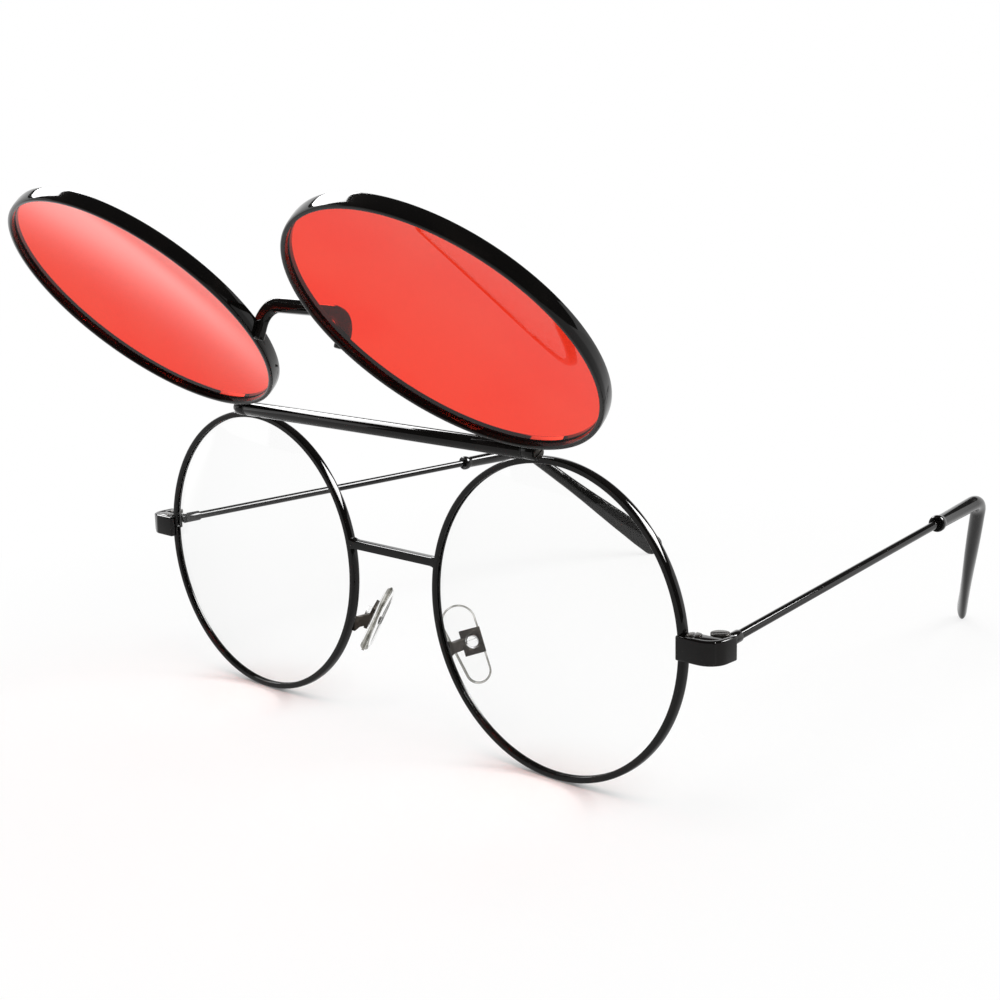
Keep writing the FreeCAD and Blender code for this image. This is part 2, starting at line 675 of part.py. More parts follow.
def tip_section(name, line, share, half_width, half_thickness):
    """An elliptical section of the paddle at a share of the tip's straight run."""
    ring = doc.addObject("Part::Ellipse", name)
    bind(ring, MajorRadius=half_width, MinorRadius=half_thickness)
    ring.Placement = tip_place(line, size(line.tip_straight) * share)
    return ring


def tip_skin(name, line):
    """The tip's outside: a flared mouth, a round sleeve, the bend, and a paddle with a rounded end."""
    first = "(temple_length - sleeve_length)"
    to_wire = Rotation(Vector(0, 0, 1), Vector(1, 0, 0))
    mouth = doc.addObject("Part::Cone", f"{name}_mouth")
    bind(mouth, Radius1="mouth_radius", Radius2="sleeve_radius", Height="mouth_length")
    mouth.Placement = Placement(Vector(size(first), 0, 0), to_wire)
    sleeve = doc.addObject("Part::Cone", f"{name}_sleeve")
    bind(sleeve, Radius1="sleeve_radius", Radius2="bend_sleeve_radius", Height=f"{line.straight} - {first}")
    sleeve.Placement = Placement(Vector(size(first), 0, 0), to_wire)
    elbow = doc.addObject("Part::Torus", f"{name}_elbow")
    bind(elbow, Radius1="bend_radius", Radius2="bend_sleeve_radius", Angle3=line.bend)
    elbow.Placement = Placement(Vector(size(line.straight), size("bend_radius"), 0),
                                Rotation(Vector(0, 0, 1), -90))
    middle = "bend_sleeve_radius"
    paddle = doc.addObject("Part::Loft", f"{name}_paddle")
    paddle.Sections = [
        tip_section(f"{name}_ring_bend", line, 0, middle, middle),
        tip_section(f"{name}_ring_middle", line, 0.45, f"({middle} + paddle_width / 2) * 0.48",
                    f"({middle} + paddle_thickness / 2) / 2"),
        tip_section(f"{name}_ring_wide", line, 0.85, "paddle_width / 2", "paddle_thickness / 2"),
        tip_section(f"{name}_ring_end", line, 1, "paddle_width / 2", "paddle_thickness / 2"),
    ]
    paddle.Solid = True
    cap = doc.addObject("Part::Ellipsoid", f"{name}_cap")
    bind(cap, Radius1="tip_end_length", Radius2="paddle_width / 2", Radius3="paddle_thickness / 2")
    cap.Angle1 = 0
    cap.Placement = tip_place(line, size(line.tip_straight))
    return joined(f"{name}_skin", mouth, sleeve, elbow, paddle, cap)


def temple_hinge(name, line):
    """The hinge's middle barrel with the ferrule that the wire is set in."""
    low = "(endpiece_height - middle_barrel_height / 2)"
    barrel = rod(f"{name}_barrel", "barrel_radius", "middle_barrel_height", AXIS_X, AXIS_Y, low)
    tail = doc.addObject("Part::Box", f"{name}_tail")
    bind(tail, Length="ferrule_start + tail_lap", Width="tail_height", Height="tail_width")
    tail_corner = Vector(0, -size("tail_height") / 2, -size("tail_width") / 2)
    tail.Placement = line.level.multiply(Placement(tail_corner, Rotation()))
    to_wire = Rotation(Vector(0, 0, 1), Vector(1, 0, 0))
    ferrule = doc.addObject("Part::Cylinder", f"{name}_ferrule")
    bind(ferrule, Radius="ferrule_radius", Height="ferrule_length")
    ferrule.Placement = line.place.multiply(Placement(Vector(size("ferrule_start"), 0, 0), to_wire))
    hole = doc.addObject("Part::Cylinder", f"{name}_hole")
    bind(hole, Radius="wire_radius + press_fit_play", Height="wire_insert")
    hole.Placement = line.place.multiply(Placement(Vector(size(WIRE_START), 0, 0), to_wire))
    bore = rod(f"{name}_bore", PIN_BORE, "middle_barrel_height", AXIS_X, AXIS_Y, low)
    whole = joined(f"{name}_whole", barrel, tail, ferrule)
    return cut(name, whole, bore, hole)


def make_temples():
    """Each temple: the hinge's middle barrel with its ferrule, the bent wire and the tip sleeve."""
    for name, line in temple_lines.items():
        wire_last = f"({line.tip_straight} - wire_end_gap)"
        wire = bent_wire(f"{name}_wire", line, "wire_radius", WIRE_START, wire_last)
        tunnel = bent_wire(f"{name}_tunnel", line, "wire_radius + press_fit_play", WIRE_START, wire_last)
        tip = cut(f"{name}_tip", tip_skin(f"{name}_tip", line), tunnel)
        hinge = temple_hinge(f"{name}_temple_hinge", line)
        for piece, shape, place in (("wire", wire, front.multiply(line.place)),
                                    ("tip", tip, front.multiply(line.place)), ("hinge", hinge, front)):
            shape.Placement = place
            if name == "right":
                keep(f"right_temple_{piece}", shape)
            else:
                mirrored(f"left_temple_{piece}", shape)


def pad_axes():
    """The right pad's long axis, its face's normal towards the nose, and its centre."""
    frontal = math.radians(size("pad_frontal_angle"))
    lean = math.radians(size("pad_lean"))
    splay = math.radians(size("pad_splay_angle"))
    upright = Vector(math.sin(frontal), 0, -math.cos(frontal))
    long_axis = upright * math.cos(lean) - Vector(0, math.sin(lean), 0)
    face = Vector(-math.cos(splay), math.sin(splay), 0)
    normal = (face - long_axis * face.dot(long_axis)).normalize()
    return Vector(size(PAD_X), size("pad_back"), -size("pad_down")), long_axis, normal


def make_nose_pads():
    """The clear pads, each with a stud, and the arms whose plates the studs snap into."""
    centre, long_axis, normal = pad_axes()
    # In the pad's own frame X runs down the pad, Z points at the nose and the plate lies at negative Z.
    pad_place = frame(centre, long_axis, normal.cross(long_axis))
    top = "(pad_length / 2 - pad_top_radius)"
    bottom = "(pad_length / 2 - pad_bottom_radius)"
    slope = math.asin((size("pad_top_radius") - size("pad_bottom_radius"))
                      / (size(top) + size(bottom)))
    leaning = f"{math.degrees(slope)} deg"
    corners = []
    for sign, place, radius in ((1, f"-{top}", "pad_top_radius"), (1, bottom, "pad_bottom_radius"),
                                (-1, bottom, "pad_bottom_radius"), (-1, f"-{top}", "pad_top_radius")):
        corners.append((f"{place} + {radius} * sin({leaning})",
                        f"pad_shift - {sign} * {radius} * cos({leaning})"))
    arcs = {1: (bottom, "pad_shift", "pad_bottom_radius", True),
            3: (f"-{top}", "pad_shift", "pad_top_radius", True)}
    pad = padded("pad", lambda sketch: outline(sketch, corners, arcs), "pad_thickness")
    rounded(pad, "pad_round", lambda edge: abs(edge.CenterOfMass.z) > size("pad_thickness") * 0.49)
    back = "(-pad_thickness / 2)"
    plate_back = f"({back} - plate_gap - plate_thickness - plate_gap)"
    stud = rod("stud", "stud_radius", f"-({plate_back}) + stud_head_height / 2", "0", "0",
               f"{plate_back} - stud_head_height / 2")
    stud_head = rod("stud_head", "stud_head_radius", "stud_head_height", "0", "0",
                    f"{plate_back} - stud_head_height")
    # The pad hangs a little turned on its stud.
    turn = Placement(Vector(), Rotation(Vector(0, 0, 1), size("pad_turn_angle")))
    place = front.multiply(pad_place).multiply(turn)
    keep("right_nose_pad", joined("pad_whole", pad, stud, stud_head), place)
    mirrored("left_nose_pad", nodes["right_nose_pad"])

    plate = box("plate", "plate_length", "plate_width", "plate_thickness",
                "-plate_length / 2", "-plate_width / 2", f"{back} - plate_gap - plate_thickness")
    plate_hole = rod("plate_hole", "stud_radius + running_fit", "plate_thickness", "0", "0",
                     f"{back} - plate_gap - plate_thickness")
    holed = cut("holed_plate", plate, plate_hole)
    holed.Placement = pad_place
    # The arm runs from the rim's back face to the plate's front edge.
    middle = Vector(0, 0, size(f"{back} - plate_gap - plate_thickness / 2"))
    edges = [pad_place.multVec(middle + Vector(0, sign * size("plate_width") / 2, 0)) for sign in (1, -1)]
    edge = min(edges, key=lambda point: point.y)
    inside = pad_place.multVec(middle) - edge
    ring = size("rim_radius - rim_wall / 2")
    foot_z = edge.z
    foot = Vector(size(LENS_X) - math.sqrt(ring ** 2 - foot_z ** 2), size("rim_depth / 2"), foot_z)
    run = edge - foot
    arm_length = run.Length
    reach = size("plate_thickness")
    arm_corners = [("-arm_foot_length", "-arm_foot_width / 2"), ("0", "-arm_foot_width / 2"),
                   ("arm_foot_length", "-arm_width / 2"), (f"{arm_length + reach}", "-arm_width / 2"),
                   (f"{arm_length + reach}", "arm_width / 2"), ("arm_foot_length", "arm_width / 2"),
                   ("0", "arm_foot_width / 2"), ("-arm_foot_length", "arm_foot_width / 2")]
    arm = padded("arm", lambda sketch: outline(sketch, arm_corners), "arm_thickness")
    arm.Placement = frame(foot, run, Vector(0, 0, 1))
    rim_room = box("arm_rim_room", "rim_radius", "rim_radius", "rim_radius",
                   "0", "rim_depth / 2 - rim_radius", "-rim_radius")
    stud_room = doc.addObject("Part::Cylinder", "arm_stud_room")
    bind(stud_room, Radius="stud_head_radius + running_fit * 2", Height="plate_thickness * 8")
    stud_low = Vector(0, 0, -size("plate_thickness") * 4)
    stud_room.Placement = pad_place.multiply(Placement(stud_low, Rotation()))
    pad_room = doc.addObject("Part::Box", "arm_pad_room")
    bind(pad_room, Length="pad_length", Width="pad_length", Height="pad_length")
    low_corner = Vector(-size("pad_length") / 2, -size("pad_length") / 2, size(f"{back} - plate_gap"))
    pad_room.Placement = pad_place.multiply(Placement(low_corner, Rotation()))
    trimmed = cut("trimmed_arm", arm, rim_room, stud_room, pad_room)
    keep("right_pad_arm", joined("pad_arm", trimmed, holed), front)
    mirrored("left_pad_arm", nodes["right_pad_arm"])
    return front.multiply(pad_place)


make_rims()
make_lenses()
make_nose_bridge()
make_top_bar()
make_flip_knuckles()
make_flip_bridge()
make_endpieces()
make_front_hinges()
make_temples()
pad_place = make_nose_pads()

doc.recompute()
for item in doc.Objects:
    faults = [state for state in item.State if state in ("Invalid", "Error")]
    if faults:
        raise RuntimeError(f"{item.Label}: {faults}")
for name, item in nodes.items():
    if item.Shape.isNull() or not item.Shape.isValid() or not item.Shape.Solids:
        raise RuntimeError(f"{name} has no valid solid")
for name, item in nodes.items():
    item.Shape.exportStep(f"parts/{name}.step")

whole = FreeCAD.BoundBox()
for item in nodes.values():
    whole.add(item.Shape.optimalBoundingBox(False))
print(f"{len(nodes)} nodes, box {whole}")
print("flip hinge", flip.Base)
print("temple hinge", front.multVec(temple_lines["right"].start))
print("pad swivel", pad_place.Base, pad_place.Rotation.multVec(Vector(0, 0, 1)))
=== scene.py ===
import json
import logging
import math
from dataclasses import dataclass
from enum import Enum
from typing import Any, Iterable, Sequence

import bmesh
import bpy
from bmesh.types import BMEdge, BMFace, BMVert
from mathutils import Matrix, Vector


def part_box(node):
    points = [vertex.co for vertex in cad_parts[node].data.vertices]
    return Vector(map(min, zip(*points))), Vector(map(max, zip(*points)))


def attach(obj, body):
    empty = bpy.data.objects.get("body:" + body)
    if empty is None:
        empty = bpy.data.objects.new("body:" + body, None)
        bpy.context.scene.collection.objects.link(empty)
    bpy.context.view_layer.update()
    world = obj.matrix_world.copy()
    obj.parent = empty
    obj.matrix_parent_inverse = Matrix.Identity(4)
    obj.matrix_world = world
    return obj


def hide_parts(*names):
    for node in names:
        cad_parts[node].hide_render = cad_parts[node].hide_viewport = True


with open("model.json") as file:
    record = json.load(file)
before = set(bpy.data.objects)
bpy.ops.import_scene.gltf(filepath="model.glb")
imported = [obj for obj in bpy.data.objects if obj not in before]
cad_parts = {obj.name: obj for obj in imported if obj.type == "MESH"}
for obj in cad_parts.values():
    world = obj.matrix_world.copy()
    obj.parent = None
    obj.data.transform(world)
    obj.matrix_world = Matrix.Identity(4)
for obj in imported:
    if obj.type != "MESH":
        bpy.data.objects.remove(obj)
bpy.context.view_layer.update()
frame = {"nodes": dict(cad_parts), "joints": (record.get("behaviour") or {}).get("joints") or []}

MM = 0.001
TO_METRES = Matrix.Scale(MM, 4)
MERGE_MM = 1e-4
UP = Vector((0, 0, 1))
WHITE = (1, 1, 1, 1)
LOG = logging.getLogger("flip_up_sunglasses")
Colour = tuple[float, float, float, float]
Pair = tuple[float, float]
Triple = tuple[float, float, float]
Point = Sequence[float]


class Side(Enum):
    """The two halves of the glasses, as the viewer sees them from the front."""

    RIGHT = 1
    LEFT = -1

    @property
    def word(self) -> str:
        """The side's word in the node names."""
        return self.name.lower()

    @property
    def mirror(self) -> Matrix:
        """What turns a right-hand shape into this side's."""
        return Matrix.Diagonal((self.value, 1, 1, 1))


class Slot(Enum):
    """The finishes that the record names."""

    FRAME = "frame"
    PAD_ARM = "pad_arm"
    SCREW = "screw"
    WASHER = "washer"
    TIP = "temple_tip"
    PAD = "nose_pad"
    CLEAR_LENS = "clear_lens"
    RED_LENS = "red_lens"


def picked(geometry: Iterable[Any], kind: type) -> list[Any]:
    """The items of one kind among those that a bmesh operator gives back."""
    return [item for item in geometry if isinstance(item, kind)]


def square_to(direction: Vector, axis: Vector) -> Vector:
    """The unit vector nearest to a direction that stands square to an axis."""
    return (direction - axis * direction.dot(axis)).normalized()


def section_at(origin: Point, heading: Point, across: Point) -> Matrix:
    """A section's frame.

    Args:
        origin: Its centre.
        heading: Its X axis, along the path.
        across: Its Y axis, or near it.

    Returns:
        The frame.
    """
    x = Vector(heading).normalized()
    z = x.cross(Vector(across)).normalized()
    y = z.cross(x)
    turned = Matrix((x, y, z)).transposed().to_4x4()
    return Matrix.Translation(origin) @ turned


def show(name: str, data: bpy.types.ID) -> bpy.types.Object:
    """Put a mesh, a lamp or a camera into the scene.

    Args:
        name: The new object's name.
        data: The mesh, lamp or camera.

    Returns:
        The object.
    """
    item = bpy.data.objects.new(name, data)
    bpy.context.scene.collection.objects.link(item)
    return item


class Signal:
    """A value in a node tree, with arithmetic that adds Math nodes."""

    def __init__(self, sheet: "NodeSheet", socket: bpy.types.NodeSocket) -> None:
        """Wrap one output socket of a node tree."""
        self.sheet = sheet
        self.socket = socket

    def _math(self, operation: str, first: Any, second: Any) -> "Signal":
        """Add a Math node to two signals or numbers."""
        return self.sheet.node("Math", 0, {0: first, 1: second}, operation=operation)

    def __add__(self, other: Any) -> "Signal":
        """Sum with a signal or number."""
        return self._math("ADD", self, other)

    __radd__ = __add__

    def __sub__(self, other: Any) -> "Signal":
        """Difference from a signal or number."""
        return self._math("SUBTRACT", self, other)

    def __rsub__(self, other: Any) -> "Signal":
        """A number less this signal."""
        return self._math("SUBTRACT", other, self)

    def __mul__(self, other: Any) -> "Signal":
        """Product with a signal or number."""
        return self._math("MULTIPLY", self, other)

    __rmul__ = __mul__

    def at_most(self, other: Any) -> "Signal":
        """The smaller of this and another."""
        return self._math("MINIMUM", self, other)


@dataclass(frozen=True)
class Mottle:
    """Noise that is cut to soft patches or, where it is stretched, to streaks.

    The low value becomes 0 and the high one 1. The turn is in degrees, and the stretch says how much finer
    the noise is along each turned axis.
    """

    size_mm: float
    low: float
    high: float
    detail: float = 2.0
    roughness: float = 0.5
    turn: Triple = (0, 0, 0)
    stretch: Triple | None = None


class NodeSheet:
    """The node tree of one material or of the world."""

    def __init__(self, tree: bpy.types.NodeTree) -> None:
        """Start from an empty tree."""
        self.tree = tree
        self.tree.nodes.clear()

    def node(self, kind: str, output: Any, inputs: dict[Any, Any] | None = None, **settings: Any) -> Signal:
        """Add any shader node.

        Args:
            kind: The node's type, without the ShaderNode that it begins with.
            output: The name or number of the output that is wanted.
            inputs: Values or signals for its sockets, by name or number.
            settings: The node's own settings.

        Returns:
            The chosen output.
        """
        made = self.tree.nodes.new(f"ShaderNode{kind}")
        for name, value in settings.items():
            setattr(made, name, value)
        for name, value in (inputs or {}).items():
            if isinstance(value, Signal):
                self.tree.links.new(value.socket, made.inputs[name])
            else:
                made.inputs[name].default_value = value
        return Signal(self, made.outputs[output])

    def finish(self, kind: str, surface: Signal) -> None:
        """Connect the last shader to a new output node."""
        end = self.tree.nodes.new(kind)
        self.tree.links.new(surface.socket, end.inputs["Surface"])

    def place(self) -> Signal:
        """The point on the object, in metres."""
        return self.node("TexCoord", "Object")

    def noise(self, size_mm: float, detail: float = 2.0, roughness: float = 0.5,
              place: Signal | None = None) -> Signal:
        """Even noise through the object, or through a place of its own, mostly near 0.5."""
        return self.node("TexNoise", "Fac", {"Vector": place or self.place(), "Scale": 1 / (size_mm * MM),
                                             "Detail": detail, "Roughness": roughness})

    def between(self, value: Signal, low: float, high: float) -> Signal:
        """Stretch a value so that low becomes 0 and high 1, with soft ends."""
        return self.node("MapRange", "Result", {"Value": value, "From Min": low, "From Max": high},
                         interpolation_type="SMOOTHSTEP")

    def patches(self, look: Mottle) -> Signal:
        """Patches or streaks.

        Args:
            look: What they are like.

        Returns:
            A value from 0 to 1.
        """
        place = self.place()
        if look.stretch:
            turn = [math.radians(part) for part in look.turn]
            place = self.node("Mapping", "Vector", {
                "Vector": place, "Rotation": turn, "Scale": look.stretch})
        value = self.noise(look.size_mm, look.detail, look.roughness, place)
        return self.between(value, look.low, look.high)

    def mix(self, share: Any, first: Any, second: Any) -> Signal:
        """Mix two colours, with a share of the second."""
        return self.node("Mix", 2, {0: share, 6: first, 7: second}, data_type="RGBA")

    def bump(self, height: Signal, strength: float, depth_mm: float) -> Signal:
        """A normal that is bumped by a height from 0 to 1."""
        return self.node("Bump", "Normal", {
            "Strength": strength, "Distance": depth_mm * MM, "Height": height})

    def path(self, output: str) -> Signal:
        """What the Light Path node tells of a ray."""
        return self.node("LightPath", output)

    def mirrored(self) -> Signal:
        """One for what is seen in a reflection, whether or not through a lens, and else nought."""
        return self.path("Glossy Depth").at_most(1.0) * (1 - self.path("Is Diffuse Ray"))

    def seen(self) -> Signal:
        """One for what the camera sees straight or through a lens, and else nought."""
        direct = (self.path("Is Camera Ray") + self.path("Is Transmission Ray")).at_most(1.0)
        return direct * (1 - self.mirrored())

    def coat(self, inputs: dict[str, Any]) -> Signal:
        """A Principled shader."""
        return self.node("BsdfPrincipled", "BSDF", inputs)

    def paper(self, colour: Colour) -> Signal:
        """A matt shader."""
        return self.node("BsdfDiffuse", "BSDF", {"Color": colour})

    def glow(self, strength: Any = 1.0) -> Signal:
        """A shader that is white by itself."""
        return self.node("Emission", "Emission", {"Color": WHITE, "Strength": strength})

    def blend(self, share: Signal, first: Signal, second: Signal) -> Signal:
        """Mix two shaders, with a share of the second."""
        return self.node("MixShader", 0, {0: share, 1: first, 2: second})

    def lets_lamps_through(self, body: Signal, shadow: Colour) -> Signal:
        """A clear shader that only tints the lamps' light behind it."""
        through = self.node("BsdfTransparent", "BSDF", {"Color": shadow})
        return self.blend(self.path("Is Shadow Ray"), body, through)


@dataclass(frozen=True)
class Finish:
    """The base of every finish: a named material made of nodes."""

    name: str

    def shader(self, sheet: NodeSheet) -> Signal:
        """The finish's own nodes, up to the last shader."""
        raise NotImplementedError

    def build(self) -> bpy.types.Material:
        """Make the material.

        Returns:
            The material, ready to use.
        """
        material = bpy.data.materials.new(self.name)
        material.use_nodes = True
        sheet = NodeSheet(material.node_tree)
        sheet.finish("ShaderNodeOutputMaterial", self.shader(sheet))
        return material


@dataclass(frozen=True)
class Enamel(Finish):
    """Glossy baked enamel on metal, with the faint orange peel and handling marks of a sprayed coat."""

    colour: Colour = (0.0035, 0.0031, 0.0029, 1)
    thin: Colour = (0.0095, 0.0075, 0.0065, 1)
    gloss: float = 0.035
    smear: float = 0.05
    speck_smear: float = 0.04
    shine: float = 0.36
    blotch_share: float = 0.6
    speck_share: float = 0.25
    blotch: Mottle = Mottle(7.0, 0.42, 0.74, detail=3.0)
    speck: Mottle = Mottle(0.3, 0.6, 0.78, roughness=0.6)
    peel_mm: float = 0.7

    def shader(self, sheet: NodeSheet) -> Signal:
        """The sprayed coat.

        Args:
            sheet: The node tree.

        Returns:
            The last shader.
        """
        blotch = sheet.patches(self.blotch)
        speck = sheet.patches(self.speck)
        share = blotch * self.blotch_share + speck * self.speck_share
        peel = sheet.noise(self.peel_mm, detail=1.0)
        return sheet.coat({
            "Base Color": sheet.mix(share, self.colour, self.thin),
            "Roughness": blotch * self.smear + speck * self.speck_smear + self.gloss,
            "Specular IOR Level": self.shine, "Normal": sheet.bump(peel, strength=0.08, depth_mm=0.01)})


@dataclass(frozen=True)
class Plating(Finish):
    """Dark satin plating on stamped or turned metal, worn a little brighter in places."""

    colour: Colour = (0.052, 0.044, 0.036, 1)
    worn: Colour = (0.125, 0.11, 0.09, 1)
    gloss: float = 0.34
    grain_mm: float = 0.12
    grain_smear: float = 0.16
    wear_polish: float = 0.08
    wear_share: float = 0.7
    metal: float = 0.7
    wear: Mottle = Mottle(1.6, 0.48, 0.72, detail=4.0, roughness=0.6)

    def shader(self, sheet: NodeSheet) -> Signal:
        """The worn plating.

        Args:
            sheet: The node tree.

        Returns:
            The last shader.
        """
        wear = sheet.patches(self.wear)
        grain = sheet.noise(self.grain_mm)
        return sheet.coat({
            "Base Color": sheet.mix(wear * self.wear_share, self.colour, self.worn),
            "Roughness": grain * self.grain_smear + self.gloss - wear * self.wear_polish,
            "Metallic": self.metal, "Normal": sheet.bump(grain, strength=0.1, depth_mm=0.01)})


@dataclass(frozen=True)
class Moulding(Finish):
    """Moulded plastic, glossy and a little wavy, with rubbing marks along it."""

    colour: Colour = (0.0045, 0.0042, 0.004, 1)
    rubbed: Colour = (0.014, 0.0125, 0.011, 1)
    gloss: float = 0.06
    shine: float = 0.4
    rub_smear: float = 0.12
    scratch_smear: float = 0.06
    rub_share: float = 0.6
    scratch_share: float = 0.2
    rub: Mottle = Mottle(3.5, 0.45, 0.75, detail=5.0, roughness=0.65)
    scratch: Mottle = Mottle(4.0, 0.56, 0.74, detail=3.0, turn=(0, 0, 5), stretch=(9, 0.7, 9))
    wave_mm: float = 2.2

    def shader(self, sheet: NodeSheet) -> Signal:
        """The rubbed plastic.

        Args:
            sheet: The node tree.

        Returns:
            The last shader.
        """
        rub = sheet.patches(self.rub)
        scratch = sheet.patches(self.scratch)
        share = rub * self.rub_share + scratch * self.scratch_share
        wave = sheet.noise(self.wave_mm, detail=1.0)
        return sheet.coat({
            "Base Color": sheet.mix(share, self.colour, self.rubbed),
            "Roughness": rub * self.rub_smear + scratch * self.scratch_smear + self.gloss,
            "Specular IOR Level": self.shine, "Normal": sheet.bump(wave, strength=0.1, depth_mm=0.01)})


@dataclass(frozen=True)
class Pane(Finish):
    """Clear or tinted lens plastic that lets light and lamps through, with faint smears."""

    tint: Colour = (0.999, 1.0, 0.999, 1)
    deep: Colour = (0.994, 0.996, 0.994, 1)
    shadow: Colour = (0.97, 0.975, 0.97, 1)
    shine: float = 0.15
    index: float = 1.25
    smear_haze: float = 0.03
    cloud: Mottle = Mottle(16.0, 0.35, 0.7)
    smear: Mottle = Mottle(7.0, 0.55, 0.78, detail=3.0, turn=(20, 35, 0), stretch=(1, 3, 1))

    def shader(self, sheet: NodeSheet) -> Signal:
        """The lens plastic.

        Args:
            sheet: The node tree.

        Returns:
            The last shader.
        """
        cloud = sheet.patches(self.cloud)
        smear = sheet.patches(self.smear)
        pane = sheet.coat({
            "Base Color": sheet.mix(cloud, self.tint, self.deep), "Roughness": smear * self.smear_haze,
            "IOR": self.index, "Transmission Weight": 1.0, "Specular IOR Level": self.shine})
        return sheet.lets_lamps_through(pane, self.shadow)


@dataclass(frozen=True)
class SoftPad(Finish):
    """The clear soft plastic of the nose pads: a little cloudy inside, with painted shade in grey along the
    raised parting line that stands in for the dark refraction at the pad's edges.
    """

    EDGE_SHADE_SHARE = "edge_shade_share"
    tint: Colour = (0.998, 0.998, 0.996, 1)
    cloudy: Colour = (0.982, 0.984, 0.978, 1)
    # line and faint are painted edge shade: grey that stands in for the dark refraction along the pad's
    # edges
    line: Colour = (0.3, 0.295, 0.27, 1)
    faint: Colour = (0.72, 0.71, 0.68, 1)
    shadow: Colour = (0.9, 0.9, 0.9, 1)
    index: float = 1.22
    gloss: float = 0.02
    grain_mm: float = 0.3
    grain_smear: float = 0.05
    cloud: Mottle = Mottle(2.2, 0.4, 0.7, detail=3.0)
    patch: Mottle = Mottle(1.7, 0.4, 0.62)

    def shader(self, sheet: NodeSheet) -> Signal:
        """The pad plastic, whose painted edge shade along the parting line is told by an attribute of the
        mesh.

        Args:
            sheet: The node tree.

        Returns:
            The last shader.
        """
        # Painted edge shade: the parting line's vertices take the grey line and faint colours, in patches
        edge = sheet.node("Attribute", "Fac", attribute_name=self.EDGE_SHADE_SHARE)
        clear = sheet.mix(sheet.patches(self.cloud), self.tint, self.cloudy)
        edge_shade = sheet.mix(sheet.patches(self.patch), self.line, self.faint)
        grain = sheet.noise(self.grain_mm)
        body = sheet.coat({
            "Base Color": sheet.mix(edge, clear, edge_shade), "Roughness": grain * self.grain_smear + self.gloss,
            "IOR": self.index, "Transmission Weight": 1.0,
            "Normal": sheet.bump(grain, strength=0.06, depth_mm=0.01)})
        return sheet.lets_lamps_through(body, self.shadow)


@dataclass(frozen=True)
class TablePaper(Finish):
    """White paper under the glasses, with sizes in metres.

    Seen straight, it keeps the shadows near the glasses and by the rims' feet and fades into plain white. In
    reflections it is dim on one side and bright on the other, across a slanting line.
    """

    feet: tuple[Point, ...]
    colour: Colour = (0.95, 0.95, 0.945, 1)
    haze: float = 0.78
    near: float = 0.08
    far: float = 0.16
    foot_shade: float = 0.85
    foot_reach: Pair = (0.02, 0.003)
    mirror_dim: float = 0.5
    mirror_bright: float = 1.7
    mirror_slope: float = 0.6
    mirror_rise: Pair = (0.006, 0.056)
    mirror_front: Pair = (-0.026, -0.04)
    mirror_back_share: float = 0.3

    def shader(self, sheet: NodeSheet) -> Signal:
        """The paper, with its two looks.

        Args:
            sheet: The node tree.

        Returns:
            The last shader.
        """
        place = sheet.place()
        from_middle = sheet.node("VectorMath", "Value", {0: place}, operation="LENGTH")
        right, left = (sheet.node("VectorMath", "Value", {0: place, 1: foot}, operation="DISTANCE")
                       for foot in self.feet)
        by_foot = sheet.between(right.at_most(left), *self.foot_reach) * self.foot_shade
        fade = sheet.between(from_middle, self.near, self.far) * (1 - self.haze) + self.haze
        plain = sheet.blend(fade * (1 - by_foot) * sheet.seen(), sheet.paper(self.colour), sheet.glow())
        x, y = (sheet.node("SeparateXYZ", axis, {0: place}) for axis in "XY")
        rise = sheet.between(y - x * self.mirror_slope, *self.mirror_rise)
        front = sheet.between(y, *self.mirror_front) * (1 - self.mirror_back_share) + self.mirror_back_share
        bright = rise * front * (self.mirror_bright - self.mirror_dim)
        return sheet.blend(sheet.mirrored(), plain, sheet.glow(bright + self.mirror_dim))


@dataclass(frozen=True)
class BackdropPaper(Finish):
    """Paper that is plain white wherever it is seen, straight or in a reflection."""

    colour: Colour = (0.9, 0.9, 0.9, 1)

    def shader(self, sheet: NodeSheet) -> Signal:
        """The paper."""
        shown = (sheet.seen() + sheet.mirrored()).at_most(1.0)
        return sheet.blend(shown, sheet.paper(self.colour), sheet.glow())


